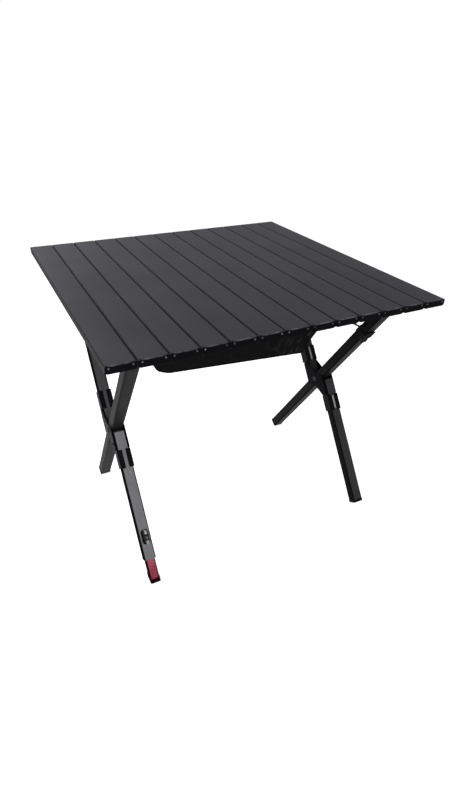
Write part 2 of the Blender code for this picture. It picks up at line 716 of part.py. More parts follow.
def knob(axis, hub, x, lower):
    """Wing screw on the front of the left lower tube, its seat, and its hole through the wall."""
    face = -LEG_OFFSET - LEG_DEPTH / 2
    shank_end = -LEG_OFFSET - FOOT_TUBE_DEPTH / 2 - RUNNING_GAP
    hole = KNOB_SHANK + SEAT_GAP
    cut(lower, rod(hole, LEG_WALL * 4, SMALL_ROUND, UPRIGHT), (x, face, KNOB_Z), hub)
    seat = rectangle(KNOB_SEAT_WIDTH, KNOB_SEAT_LENGTH, KNOB_SEAT_ROUND)
    seat_mesh = prism([seat, circle(hole, SMALL_ROUND)], KNOB_SEAT, UPRIGHT)
    seat_y = face - SEAT_GAP - KNOB_SEAT / 2
    piece("knob_seat", seat_mesh, black_plastic, hub, (x, seat_y, KNOB_Z))
    back = face - SEAT_GAP - KNOB_SEAT - RUNNING_GAP
    wings = prism([knob_outline()], KNOB_THICKNESS, UPRIGHT)
    made = piece("foot_knob", wings, chrome, axis, (0, back - KNOB_THICKNESS / 2 - face, 0))
    bevel = made.modifiers.new("edge", "BEVEL")
    bevel.width = KNOB_EDGE
    bevel.segments = 2
    bevel.limit_method = "ANGLE"
    shank = shank_end - back + SINK
    fuse(made, rod(KNOB_SHANK, shank, SMALL_ROUND, UPRIGHT), (0, back - SINK + shank / 2 - face, 0), axis)
    front = back - KNOB_THICKNESS - KNOB_BOSS_HEIGHT
    boss = rod(KNOB_BOSS, back - SINK - front, ROUND, UPRIGHT, KNOB_BOSS - KNOB_EDGE)
    fuse(made, boss, (0, (back - SINK + front) / 2 - face, 0), axis)


def net_ring(depth):
    """Rounded outline of the net at a share of its depth, 0 at the rim and 1 at the floor."""
    drop = (NET_DROP_LEFT + NET_DROP_RIGHT) / 2
    ends = [
        NET_TOP_LEFT + (NET_FLOOR_LEFT - NET_TOP_LEFT) * depth,
        NET_TOP_RIGHT + (NET_FLOOR_RIGHT - NET_TOP_RIGHT) * depth,
    ]
    width = NET_TOP_DEPTH + (NET_FLOOR_DEPTH - NET_TOP_DEPTH) * depth
    middle = ((ends[0] + ends[1]) / 2, 0)
    flat = rectangle(ends[1] - ends[0], width, NET_CORNER, middle, 4)
    slope = (NET_DROP_LEFT - NET_DROP_RIGHT) / (NET_FLOOR_RIGHT - NET_FLOOR_LEFT)
    height = NET_RIM_Z - drop * depth
    return [Vector((p.x, p.y, height + depth * slope * (p.x - middle[0]))) for p in flat]


def net_mesh():
    """Open tray of net: rings from the rim down, and a floor that sags to its middle."""
    rings = [net_ring(k / NET_ROWS) for k in range(NET_ROWS + 1)]
    floor = rings[-1]
    centre = sum(floor, Vector()) / len(floor)
    for inward in NET_FLOOR_RINGS:
        drop = NET_SAG * inward
        rings.append([p.lerp(centre, inward) - Vector((0, 0, drop)) for p in floor])
    bm = bmesh.new()
    rows = [[bm.verts.new(p) for p in ring] for ring in rings]
    count = len(floor)
    for upper, lower in zip(rows, rows[1:]):
        for i in range(count):
            j = (i + 1) % count
            bm.faces.new((upper[i], upper[j], lower[j], lower[i]))
    middle = bm.verts.new(centre - Vector((0, 0, NET_SAG)))
    for i in range(count):
        bm.faces.new((rows[-1][i], rows[-1][(i + 1) % count], middle))
    bmesh.ops.recalc_face_normals(bm, faces=bm.faces)
    mesh = bpy.data.meshes.new("net")
    bm.to_mesh(mesh)
    bm.free()
    return mesh


def strap_mesh(near, far):
    """Flat webbing between two points of the side plane, its thickness upwards."""
    corners = [near, far, (far[0], far[1] + STRAP), (near[0], near[1] + STRAP)]
    return prism([corners], STRAP_WIDTH, SIDEWAYS)


def storage_net():
    """Net tray under the top, with webbing up to the rails."""
    made = piece("storage_net", net_mesh(), net_black)
    shell = made.modifiers.new("wall", "SOLIDIFY")
    shell.thickness = NET_WALL
    shell.offset = 0
    rim = NET_TOP_DEPTH / 2
    under = RAIL_TOP - RAIL_HEIGHT - SEAT_GAP - STRAP
    for side, word in ((-1, "left"), (1, "right")):
        x = NET_TOP_LEFT + STRAP_INSET if side < 0 else NET_TOP_RIGHT - STRAP_INSET
        low = NET_RIM_Z - NET_WALL
        fuse(made, strap_mesh((-rim, low), (FRONT_PIVOT_Y, under)), (x, 0, 0))
        strap = strap_mesh((rim + NET_WALL, low), (REAR_PIVOT_Y, under))
        piece(f"net_strap_{word}", strap, webbing, None, (x, 0, 0))


def strap_loop(hub, x):
    """Webbing loop round the right outer leg, with its buckle on the front."""
    inner = rectangle(LEG_WIDTH + 2 * SEAT_GAP, LEG_DEPTH + 2 * SEAT_GAP, LEG_ROUND)
    grow = 2 * (SEAT_GAP + LOOP_WALL)
    outer = rectangle(LEG_WIDTH + grow, LEG_DEPTH + grow, LEG_ROUND + LOOP_WALL)
    made = piece("strap_loop", prism([outer, inner], LOOP_WIDTH), webbing, hub, (x, 0, LOOP_PLACE))
    face = -LEG_DEPTH / 2 - SEAT_GAP - LOOP_WALL
    buckle = block((BUCKLE_WIDTH, BUCKLE + SINK, LOOP_WIDTH - 2 * LOOP_WALL))
    fuse(made, buckle, (x, face + (SINK - BUCKLE) / 2, LOOP_PLACE), hub)


def make_frame():
    """Rails, scissor legs and everything on them, chained as the joints are."""
    rail_z = RAIL_TOP - RAIL_HEIGHT / 2
    rail("front_rail", None, (FRAME_X, FRONT_PIVOT_Y, rail_z))
    front = rig("front_pivot", (0, FRONT_PIVOT_Y, PIVOT_Z), 0)
    outer_hub = rig("outer_hub", (0, FRAME_Y, HUB_Z), OUTER_TILT, front)
    inner_hub = rig("inner_hub", (0, FRAME_Y, HUB_Z), -INNER_TILT, outer_hub)
    rear = rig("rear_pivot", (0, REAR_PIVOT_Y, PIVOT_Z), 0, inner_hub)
    rail("rear_rail", rear, (FRAME_X, 0, rail_z - PIVOT_Z))
    slide = rig("foot_slide", (0, FRAME_Y, HUB_Z), -INNER_TILT, inner_hub)
    for side, word in ((-1, "left"), (1, "right")):
        x = FRAME_X + side * FRAME_HALF
        bracket(f"front_bracket_{word}", None, (x, FRONT_PIVOT_Y, PIVOT_Z))
        bracket(f"rear_bracket_{word}", rear, (x, 0, 0))
        outer_leg(word, outer_hub, x)
        if word == "left":
            lower = inner_leg(word, inner_hub, x, SLEEVE_END)
            levelling_foot(slide, x)
            face = -LEG_OFFSET - LEG_DEPTH / 2
            spot = inner_hub.matrix_world @ Vector((x, face, KNOB_Z))
            knob(rig("knob_axis", spot, -INNER_TILT, inner_hub), inner_hub, x, lower)
        else:
            rear_corner = LEG_DEPTH / 2 - LEG_OFFSET
            end = floor_height(-INNER_TILT, rear_corner) + FOOT_CAP
            inner_leg(word, inner_hub, x, end)
            foot_cap("inner_foot_right", inner_hub, x, -LEG_OFFSET, end)
            strap_loop(outer_hub, x)


for left_over in list(bpy.data.objects):
    bpy.data.objects.remove(left_over)
table = collection("camping_table")
cutters = collection("cutters")
rigs = collection("joint_axes")

aluminium = material("dark_anodised_aluminium", (0.085, 0.085, 0.095), 0.42, 0.85)
steel = material("zinc_plated_steel", (0.45, 0.45, 0.46), 0.35, 1.0)
dark_steel = material("blued_steel", (0.04, 0.045, 0.06), 0.4, 0.8)
chrome = material("chrome", (0.8, 0.8, 0.8), 0.08, 1.0)
black_plastic = material("black_plastic", (0.012, 0.012, 0.013), 0.5, 0.0)
red_paint = material("red_anodised_tube", (0.26, 0.035, 0.06), 0.4, 0.5)
rubber = material("dark_red_rubber", (0.08, 0.015, 0.025), 0.8, 0.0)
elastic = material("elastic_cord", (0.02, 0.02, 0.02), 0.9, 0.0)
net_black = material("black_net", (0.015, 0.015, 0.018), 0.9, 0.0)
webbing = material("webbing", (0.05, 0.04, 0.035), 0.85, 0.0)

make_top()
elastic_cords()
centre_clip()
storage_net()
make_frame()
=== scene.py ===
"""The looks of a folding camping table: finishes, slats, end caps, net, webbing and small hardware.

A lesson in cells. Metres, +Z up, the origin on the floor under the middle of the top, X along
the front edge and Y to the back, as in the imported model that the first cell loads.
"""

# %% [markdown]
# The imported model is the skeleton: every slat, tube, rail and pin is already in its place there and turns
# about its joint. This script dresses it. Loading it gives one object for each CAD node.

import math

import bmesh
import bpy
import numpy as np
from mathutils import Matrix, Vector


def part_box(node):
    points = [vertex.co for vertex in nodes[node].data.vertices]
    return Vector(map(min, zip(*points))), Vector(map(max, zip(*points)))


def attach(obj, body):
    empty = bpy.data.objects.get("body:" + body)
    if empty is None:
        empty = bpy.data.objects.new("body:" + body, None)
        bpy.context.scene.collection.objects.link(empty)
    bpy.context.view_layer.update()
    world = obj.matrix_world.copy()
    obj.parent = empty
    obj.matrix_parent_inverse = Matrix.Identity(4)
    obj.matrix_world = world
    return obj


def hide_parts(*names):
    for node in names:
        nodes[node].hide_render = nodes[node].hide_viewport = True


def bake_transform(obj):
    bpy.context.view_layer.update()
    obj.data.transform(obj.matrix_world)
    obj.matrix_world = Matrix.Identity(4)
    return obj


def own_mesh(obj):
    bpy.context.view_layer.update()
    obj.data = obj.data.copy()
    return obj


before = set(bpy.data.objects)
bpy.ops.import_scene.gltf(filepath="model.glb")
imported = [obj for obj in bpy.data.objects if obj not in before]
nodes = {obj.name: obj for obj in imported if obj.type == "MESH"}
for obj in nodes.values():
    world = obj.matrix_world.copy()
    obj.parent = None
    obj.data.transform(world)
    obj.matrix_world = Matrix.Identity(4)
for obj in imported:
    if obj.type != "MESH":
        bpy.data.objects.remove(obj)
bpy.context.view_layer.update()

# %% [markdown]
# The camera stands where the photograph was taken from: a little above the table, ahead of it
# and to its left. Its axes come from three turns, a heading from +Y towards +X, a look down and
# a slight roll, and its lens from the focal length in pixels of an 800 pixel high picture.

# %% Camera
CAMERA_PLACE = (-0.5011, -1.0762, 1.0272)
HEADING, LOOK_DOWN, ROLL = (math.radians(turn) for turn in (27.2107, 31.7369, 1.1493))
FOCAL_PIXELS = 535.4365
PICTURE_HEIGHT = 800
SENSOR = 36.0

ahead = Vector((math.sin(HEADING), math.cos(HEADING), 0)) * math.cos(LOOK_DOWN)
ahead.z = -math.sin(LOOK_DOWN)
level = Vector((math.cos(HEADING), -math.sin(HEADING), 0))
above = level.cross(ahead)
right = math.cos(ROLL) * level + math.sin(ROLL) * above
upward = -math.sin(ROLL) * level + math.cos(ROLL) * above

lens = bpy.data.cameras.new("camera")
lens.sensor_width = SENSOR
lens.lens = FOCAL_PIXELS * SENSOR / PICTURE_HEIGHT
camera = bpy.data.objects.new("camera", lens)
bpy.context.scene.collection.objects.link(camera)
turn = Matrix((right, upward, -ahead)).transposed().to_4x4()
camera.matrix_world = Matrix.Translation(CAMERA_PLACE) @ turn
bpy.context.scene.camera = camera
print("lens", round(lens.lens, 2), "mm")

# %% [markdown]
# A finish is a small tree of nodes that ends in one Principled shader. Writing each tree by hand
# takes many lines, so one helper adds a node, sets its options and joins its inputs: an input
# given as a socket is linked, and any other value is typed in.

# %% Node helpers
def add_node(tree, kind, inputs=None, **options):
    """Node of one kind in a tree, its inputs linked where they are sockets and typed where not."""
    node = tree.nodes.new("ShaderNode" + kind)
    for name, value in options.items():
        setattr(node, name, value)
    for name, value in (inputs or {}).items():
        if isinstance(value, bpy.types.NodeSocket):
            tree.links.new(value, node.inputs[name])
        else:
            node.inputs[name].default_value = value
    return node


def new_finish(name, metallic=0.0, **constants):
    """Material with an empty Principled shader: its tree, the shader and the material."""
    made = bpy.data.materials.new(name)
    made.use_nodes = True
    tree = made.node_tree
    shader = tree.nodes["Principled BSDF"]
    shader.inputs["Metallic"].default_value = metallic
    for socket, value in constants.items():
        shader.inputs[socket.replace("_", " ")].default_value = value
    return made, tree, shader


def place_in(tree, stretch=(1, 1, 1), tilt=0.0):
    """Object coordinates turned by a tilt about X and stretched, so that a grain can run along a leg."""
    coordinates = add_node(tree, "TexCoord").outputs["Object"]
    turned = add_node(tree, "Mapping", {"Vector": coordinates, "Rotation": (tilt, 0, 0), "Scale": stretch})
    return turned.outputs["Vector"]


def noise(tree, vector, scale, detail=2.0, roughness=0.5):
    """Noise from 0 to 1 whose clouds are about 1 / scale apart."""
    values = {"Vector": vector, "Scale": scale, "Detail": detail, "Roughness": roughness}
    return add_node(tree, "TexNoise", values).outputs["Fac"]


def ramp(tree, value, low, high, first, last):
    """Value carried linearly from the span low-high to the span first-last, held at its ends."""
    values = {"Value": value, "From Min": low, "From Max": high, "To Min": first, "To Max": last}
    return add_node(tree, "MapRange", values).outputs["Result"]


def arithmetic(tree, operation, first, second=0.0):
    """Result of a math node on one or two values."""
    return add_node(tree, "Math", {0: first, 1: second}, operation=operation).outputs[0]


def distance(tree, place, middle):
    """How far a coordinate is from a middle, either way."""
    return arithmetic(tree, "ABSOLUTE", arithmetic(tree, "SUBTRACT", place, middle))


def shade(colour, factor):
    """Colour made darker or lighter by a factor."""
    return tuple(channel * factor for channel in colour)


def blend_colours(tree, share, dark, light):
    """Colour between two, by a share from 0 to 1."""
    node = add_node(tree, "Mix", {"Factor": share}, data_type="RGBA")
    for socket, colour in ((node.inputs[6], dark), (node.inputs[7], light)):
        if isinstance(colour, bpy.types.NodeSocket):
            tree.links.new(colour, socket)
        else:
            socket.default_value = (*colour, 1)
    return node.outputs[2]


def raise_surface(tree, shader, height, depth, strength=1.0):
    """Bump of a real depth in metres."""
    bump = add_node(tree, "Bump", {"Height": height, "Distance": depth, "Strength": strength})
    tree.links.new(bump.outputs["Normal"], shader.inputs["Normal"])


def painted(made):
    """Tree and shader of a finish, and the socket that its colour comes from."""
    tree = made.node_tree
    shader = tree.nodes["Principled BSDF"]
    return tree, shader, shader.inputs["Base Color"].links[0].from_socket


# %% [markdown]
# Anodised aluminium is metal under a thin dyed oxide: it scatters light more than it mirrors it,
# more along the drawing lines of the profile than across them, and its colour drifts a little
# from one end to the other. Two noises do it. One is stretched a hundredfold along the piece and
# is the fine brushing, in the bump and the roughness. The other is broad and moves the colour.
# The slats get painted shade along their long edges, so the joints between them read as thin black lines
# from any side, a little wider at the left of the top than at the right, and the top's two outer sides are
# painted black the same way. X counted in slats is a half on a joint, which is where the painted shade
# lies.

# %% Anodised aluminium
DYE_GLOSS = 0.04
DYE_METAL = 0.25
DYE_EDGE = (0.4, 0.4, 0.4, 1)


def anodised(name, colour, roughness, stretch, drift=0.12):
    """Satin anodised metal, with its grain along the axis whose stretch is small."""
    made, tree, shader = new_finish(name, DYE_METAL, Specular_IOR_Level=DYE_GLOSS, Specular_Tint=DYE_EDGE)
    grain = noise(tree, place_in(tree, stretch), 1.0, 3.0)
    cloud = noise(tree, place_in(tree), 9.0, 2.0)
    broad, fine = ramp(tree, cloud, 0.3, 0.7, 0, 0.7), ramp(tree, grain, 0.3, 0.7, 0, 0.3)
    share = arithmetic(tree, "ADD", broad, fine)
    tone = blend_colours(tree, share, shade(colour, 1 - drift), shade(colour, 1 + drift))
    tree.links.new(tone, shader.inputs["Base Color"])
    satin = ramp(tree, grain, 0.3, 0.7, roughness - 0.05, roughness + 0.07)
    tree.links.new(satin, shader.inputs["Roughness"])
    raise_surface(tree, shader, grain, 0.00003, 0.5)
    return made


ALONG_Y = (1100, 7, 1100)
ALONG_X = (7, 1100, 1100)
ALONG_Z = (1100, 1100, 7)

PITCH = 0.0539
TOP = 0.638
TOP_HALF = 0.350
# Painted shade: half-widths of the black band at each joint, at the left and at the right of the top, its
# fade, and its reach in from the two outer sides.
JOINT_SHADE_HALF = (0.0020, 0.0011)
JOINT_SHADE_FADE = 0.0012
OUTER_SIDE_SHADE = (0.0026, 0.0016)
PAINTED_SHADE_BLACK = (0.006, 0.006, 0.007)


def off_joint(tree, x):
    """Distance from the nearest joint: X counted in slats is a half on every joint."""
    slats = arithmetic(tree, "FRACT", arithmetic(tree, "MULTIPLY", x, 1 / PITCH))
    return arithmetic(tree, "MULTIPLY", distance(tree, slats, 0.5), PITCH)


def paint_joint_shade(made):
    """Colour of a slat finish with painted shade: black near each joint and along the top's two outer
    sides.
    """
    tree, shader, colour = painted(made)
    x = add_node(tree, "SeparateXYZ", {0: place_in(tree)}).outputs["X"]
    # Painted shade: the black band at each joint is wider at the left of the top than at the right.
    half = ramp(tree, x, -TOP_HALF, TOP_HALF, *JOINT_SHADE_HALF)
    between = ramp(tree, arithmetic(tree, "SUBTRACT", off_joint(tree, x), half), 0, JOINT_SHADE_FADE, 1, 0)
    # Painted shade along the top's two outer sides too.
    inset = arithmetic(tree, "SUBTRACT", TOP_HALF, arithmetic(tree, "ABSOLUTE", x))
    dark = arithmetic(tree, "MAXIMUM", between, ramp(tree, inset, *OUTER_SIDE_SHADE, 0, 1))
    tree.links.new(blend_colours(tree, dark, colour, PAINTED_SHADE_BLACK), shader.inputs["Base Color"])


slat_finish = anodised("slat_dark_anodised_painted_shade", (0.053, 0.051, 0.059), 0.55, ALONG_Y)
paint_joint_shade(slat_finish)
rail_finish = anodised("rail_dark_anodised", (0.03, 0.03, 0.033), 0.5, ALONG_X)
print("anodised finishes", 2)

# %% [markdown]
# A leg tube is a rounded rectangle in section. Its broad front and back are painted lighter than its sides,
# and the sides and above all the rounded corners are painted near black, so that each leg has a dark
# outline: painted light and shade. Each tube also has its own face tone, lighter where the tube is lit and
# darker where it is shaded, which is painted light too. All legs lie in upright planes, so X tells how far
# a point is from the middle of its tube, and Y does once it is turned into the leg. Under the scissor
# clips, where the tubes snap in and out of each other, a painted highlight runs down the face in a streak.

# %% Leg tubes
LEG_X = {"left": -0.27005, "right": 0.32395}
LEG_WIDTH = 0.028
LEG_DEPTH = 0.0255
LEG_STEP = 0.029
OUTER_TILT = math.radians(36.787)
INNER_TILT = math.radians(-34.474)
HUB_Y, HUB_Z = -0.0045, 0.285864
CLIP_MIDDLE = 0.0743
# Painted highlight streak at each scissor clip: its half-width and its half-length.
HIGHLIGHT_STREAK_HALF = 0.0022
HIGHLIGHT_STREAK_LENGTH = 0.015
# Painted shade: how far the dark sides and the black corners reach in from the tube's edges.
SIDE_SHADE_REACH = (0.0012, 0.0004)
CORNER_SHADE_REACH = (0.0036, 0.002)


def along_leg(tree, tilt):
    """Object coordinates in the frame of a leg: zero on its hub, Z up the tube, Y through its depth."""
    coordinates = add_node(tree, "TexCoord").outputs["Object"]
    moved = {"Vector": coordinates, "Location": (0, -HUB_Y, -HUB_Z)}
    hub = add_node(tree, "Mapping", moved).outputs["Vector"]
    return add_node(tree, "Mapping", {"Vector": hub, "Rotation": (-tilt, 0, 0)}).outputs["Vector"]


def tube_finish(
    name, face, side, x, tilt, step=0.0, streak_highlight=0.0, side_shade=1.0, edge=1.0, size=(LEG_WIDTH, LEG_DEPTH)
):
    """Anodised tube with painted light: broad faces lighter than the sides, painted shade in black corners,
    and a painted highlight streak at a clip.
    """
    made, tree, shader = new_finish(name, DYE_METAL, Specular_IOR_Level=DYE_GLOSS, Specular_Tint=DYE_EDGE)
    grain = noise(tree, place_in(tree, ALONG_Z, -tilt), 1.0, 3.0)
    cloud = noise(tree, place_in(tree), 14.0, 3.0)
    grit = noise(tree, place_in(tree), 420.0, 2.0, 0.7)
    place = add_node(tree, "SeparateXYZ", {0: along_leg(tree, tilt)}).outputs
    off_x, off_y = distance(tree, place["X"], x), distance(tree, place["Y"], step)
    in_x = arithmetic(tree, "SUBTRACT", size[0] / 2, off_x)
    in_y = arithmetic(tree, "SUBTRACT", size[1] / 2, off_y)
    # Painted shade: the sides and the rounded corners turn near black and lose their metal and gloss.
    side_shade_mask = ramp(tree, in_x, *SIDE_SHADE_REACH, 0, 1)
    edge_x, edge_y = (ramp(tree, inset, *CORNER_SHADE_REACH, 0, 1) for inset in (in_x, in_y))
    corner = arithmetic(tree, "MULTIPLY", arithmetic(tree, "MINIMUM", edge_x, edge_y), edge)
    painted_shade_share = arithmetic(tree, "MAXIMUM", corner, arithmetic(tree, "MULTIPLY", side_shade_mask, side_shade))
    tree.links.new(ramp(tree, painted_shade_share, 0, 1, DYE_METAL, 0), shader.inputs["Metallic"])
    tree.links.new(ramp(tree, painted_shade_share, 0, 1, DYE_GLOSS, 0), shader.inputs["Specular IOR Level"])
    large, small = ramp(tree, cloud, 0.3, 0.7, 0, 0.5), ramp(tree, grit, 0.35, 0.65, 0, 0.5)
    uneven = arithmetic(tree, "ADD", large, small)
    broad = blend_colours(tree, uneven, shade(face, 0.75), shade(face, 1.25))
    surface_tone = blend_colours(tree, corner, blend_colours(tree, side_shade_mask, broad, side), PAINTED_SHADE_BLACK)
    # Painted highlight: a narrow pale streak down the face at each scissor clip.
    if streak_highlight:
        reach = distance(tree, arithmetic(tree, "ABSOLUTE", place["Z"]), CLIP_MIDDLE)
        narrow = ramp(tree, off_x, HIGHLIGHT_STREAK_HALF, HIGHLIGHT_STREAK_HALF + 0.001, 1, 0)
        short = ramp(tree, reach, HIGHLIGHT_STREAK_LENGTH, HIGHLIGHT_STREAK_LENGTH + 0.005, 1, 0)
        on_streak_highlight = arithmetic(tree, "MULTIPLY", narrow, short)
        surface_tone = blend_colours(tree, on_streak_highlight, surface_tone, (streak_highlight, streak_highlight, streak_highlight))
    tree.links.new(surface_tone, shader.inputs["Base Color"])
    tree.links.new(ramp(tree, grain, 0.3, 0.7, 0.42, 0.56), shader.inputs["Roughness"])
    raise_surface(tree, shader, grain, 0.00003, 0.5)
    return made


def grey(level):
    """Neutral grey with a trace of blue."""
    return (level, level, level * 1.05)


tube_finishes = {}
# Face and side tones are painted light and shade: the lit lower left tube is lightest, and the shaded upper
# and right tubes are darker.
for name, face, side, where, tilt, step, streak_highlight, side_shade, edge in (
    ("outer_leg_left", 0.022, 0.021, "left", OUTER_TILT, 0.0, 0.0, 0.7, 0.45),
    ("inner_upper_left", 0.085, 0.006, "left", INNER_TILT, LEG_STEP, 0.0, 1.0, 1.0),
    ("inner_lower_left", 0.215, 0.006, "left", INNER_TILT, -LEG_STEP, 0.0, 1.0, 1.0),
    ("outer_leg_right", 0.022, 0.014, "right", OUTER_TILT, 0.0, 0.0, 0.8, 1.0),
    ("inner_upper_right", 0.026, 0.003, "right", INNER_TILT, LEG_STEP, 0.3, 1.0, 1.0),
    ("inner_lower_right", 0.052, 0.008, "right", INNER_TILT, -LEG_STEP, 0.4, 0.8, 1.0),
):
    x, dye = LEG_X[where], name + "_dye_painted_light"
    tube_finishes[name] = tube_finish(dye, grey(face), grey(side), x, tilt, step, streak_highlight, side_shade, edge)


def paint_streak_highlight(made, dark, light, tilt, low, high):
    """Face colour of a tube in long pale streaks of painted highlight that grow lighter upwards between two
    places on the leg.
    """
    tree, shader, colour = painted(made)
    faces = colour.node.inputs[6].links[0].from_node
    lines = noise(tree, place_in(tree, (420, 420, 30), -tilt), 1.0, 3.0, 0.6)
    place = add_node(tree, "SeparateXYZ", {0: along_leg(tree, tilt)}).outputs["Z"]
    height = ramp(tree, place, low, high, 0, 0.5)
    share = arithmetic(tree, "ADD", ramp(tree, lines, 0.3, 0.7, 0, 0.5), height)
    tree.links.new(blend_colours(tree, share, dark, light), faces.inputs[6])


# The red foot tube: its faces are painted lighter than its sides, which is painted light and shade, and its
# face gets pale streaks of painted highlight.
RED_SIZE = (0.0225, 0.0205)
RED_FACE, RED_SIDE_SHADE = (0.36, 0.05, 0.085), (0.05, 0.006, 0.012)
RED_DARK, RED_HIGHLIGHT = (0.2, 0.012, 0.03), (0.62, 0.17, 0.22)
RED_HIGHLIGHT_SPAN = (-0.345, -0.30)
x = LEG_X["left"]
red_tube_finish = tube_finish("red_dye_painted_light", RED_FACE, RED_SIDE_SHADE, x, INNER_TILT, -LEG_STEP, size=RED_SIZE)
paint_streak_highlight(red_tube_finish, RED_DARK, RED_HIGHLIGHT, INNER_TILT, *RED_HIGHLIGHT_SPAN)
print("tube finishes", len(tube_finishes) + 1)

# %% [markdown]
# The other hard finishes are simpler. Moulded nylon has a fine matt skin with faint flow marks.
# Zinc plate is bright and slightly cloudy, blued plate is dark with worn lighter patches, and
# the wing screw is a satin grey casting. Rubber is the roughest of them.

# %% Plastic, plated and rubber finishes
def moulded(name, colour, roughness, gloss=0.18, grit=2600.0):
    """Moulded plastic: a fine grit in the bump, broad marks in colour and gloss."""
    made, tree, shader = new_finish(name, Specular_IOR_Level=gloss)
    skin = noise(tree, place_in(tree), grit, 1.0)
    marks = noise(tree, place_in(tree), 60.0, 3.0)
    tone = blend_colours(tree, marks, shade(colour, 0.7), shade(colour, 1.5))
    matt = ramp(tree, marks, 0.3, 0.7, roughness - 0.08, roughness + 0.08)
    tree.links.new(tone, shader.inputs["Base Color"])
    tree.links.new(matt, shader.inputs["Roughness"])
    raise_surface(tree, shader, skin, 0.00004, 0.6)
    return made


def plated(name, dark, light, roughness, patches, grit=900.0, metallic=1.0, gloss=0.2):
    """Plated steel: patches that drift between two colours, over a fine cloudy roughness."""
    made, tree, shader = new_finish(name, metallic, Specular_IOR_Level=gloss, Specular_Tint=DYE_EDGE)
    cloud = noise(tree, place_in(tree), patches, 4.0, 0.65)
    fine = noise(tree, place_in(tree), grit, 2.0)
    tone = blend_colours(tree, ramp(tree, cloud, 0.35, 0.7, 0, 1), dark, light)
    satin = ramp(tree, fine, 0.3, 0.7, roughness * 0.8, roughness * 1.3)
    tree.links.new(tone, shader.inputs["Base Color"])
    tree.links.new(satin, shader.inputs["Roughness"])
    raise_surface(tree, shader, fine, 0.00001, 0.4)
    return made


plastic_finish = moulded("moulded_nylon", (0.005, 0.005, 0.006), 0.5, 0.03)
cap_finish = moulded("slat_cap_nylon_painted_highlight", (0.004, 0.004, 0.005), 0.34, 0.02)
rubber_finish = moulded("dark_red_rubber", (0.009, 0.002, 0.004), 0.8, 0.05, 1400.0)
zinc_finish = plated("grey_zinc_plate", grey(0.03), grey(0.19), 0.3, 45.0, metallic=0.7)
black_steel_finish = plated("black_zinc_plate", grey(0.02), grey(0.045), 0.4, 90.0, metallic=0.6)
BLUE_DARK, BLUE_LIGHT = (0.003, 0.003, 0.004), (0.008, 0.008, 0.011)
blued_finish = plated("blued_plate", BLUE_DARK, BLUE_LIGHT, 0.42, 70.0, gloss=0.01, metallic=0.0)
CAST_METAL = 0.3
casting_finish = plated("satin_casting_painted_shade", grey(0.3), grey(0.5), 0.36, 160.0, 1500.0, CAST_METAL)
print("hard finishes", 7)

# %% [markdown]
# Two pieces get painted light. The wing screw is bright on its lobes and partly on its boss, with painted
# shade black in the hollows between and down its left flank, told apart by how far along and across the leg
# they are from its middle. The slats' front caps get a painted highlight, grey on their upper face, in
# patches, away from the joints and towards the front.

# %% Painted shade and highlight
# Painted shade on the wing screw: where the lobes and the boss reach along the leg, how wide its bright
# band is, how far that band is set to the right, and the black of the hollows.
LOBE_REACH = (0.0065, 0.0085)
BOSS_REACH = (0.0028, 0.004)
BOSS_BRIGHT = 0.35
LOBE_HALF = (0.003, 0.0042)
LIT_SIDE_SHIFT = 0.002
HOLLOW_SHADE = (0.008, 0.008, 0.008)
knob_low, knob_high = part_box("foot_knob")
knob_middle = (knob_low + knob_high) / 2 - Vector((0, HUB_Y, HUB_Z))
KNOB_PLACE = knob_middle.z * math.cos(INNER_TILT) - knob_middle.y * math.sin(INNER_TILT)
# Painted highlight on the caps' top face: how far from the joints it starts, the height of that face, its
# fade from front to back, and its grey.
CAP_HIGHLIGHT_FROM = (0.004, 0.014)
CAP_HIGHLIGHT_TOP = (TOP - 0.0012, TOP - 0.0004)
CAP_HIGHLIGHT_FRONT = (-0.1, 0.1)
CAP_HIGHLIGHT_GREY = (0.13, 0.125, 0.145)


def lobes(made):
    """Wing screw bright on its two lobes and partly on its boss, with painted shade black in the hollows
    between and down its left flank.
    """
    tree, shader, metal = painted(made)
    place = add_node(tree, "SeparateXYZ", {0: along_leg(tree, INNER_TILT)}).outputs
    reach = distance(tree, place["Z"], KNOB_PLACE)
    # Painted shade: the bright band is set to the right, so the screw's left flank is black.
    wide = distance(tree, place["X"], LEG_X["left"] + LIT_SIDE_SHIFT)
    lobe, boss = ramp(tree, reach, *LOBE_REACH, 0, 1), ramp(tree, reach, *BOSS_REACH, BOSS_BRIGHT, 0)
    ends = arithmetic(tree, "MAXIMUM", lobe, boss)
    bright = arithmetic(tree, "MULTIPLY", ends, ramp(tree, wide, *LOBE_HALF, 1, 0))
    # Painted shade in the hollows, which also lose their metal.
    tree.links.new(blend_colours(tree, bright, HOLLOW_SHADE, metal), shader.inputs["Base Color"])
    tree.links.new(ramp(tree, bright, 0, 1, 0, CAST_METAL), shader.inputs["Metallic"])


def paint_cap_highlight(made):
    """Slat caps with a painted highlight: their top face grey between the joints, in patches, towards the
    front.
    """
    tree, shader, colour = painted(made)
    place = add_node(tree, "SeparateXYZ", {0: place_in(tree)}).outputs
    between = ramp(tree, off_joint(tree, place["X"]), *CAP_HIGHLIGHT_FROM, 0, 1)
    on_top = ramp(tree, place["Z"], *CAP_HIGHLIGHT_TOP, 0, 1)
    patchy = ramp(tree, noise(tree, place_in(tree), 55.0), 0.35, 0.6, 0.25, 1)
    patchy = arithmetic(tree, "MULTIPLY", patchy, ramp(tree, place["Y"], *CAP_HIGHLIGHT_FRONT, 1, 0))
    # Painted highlight along the caps' top face.
    cap_highlight = arithmetic(tree, "MULTIPLY", arithmetic(tree, "MULTIPLY", between, on_top), patchy)
    tree.links.new(blend_colours(tree, cap_highlight, colour, CAP_HIGHLIGHT_GREY), shader.inputs["Base Color"])


lobes(casting_finish)
paint_cap_highlight(cap_finish)
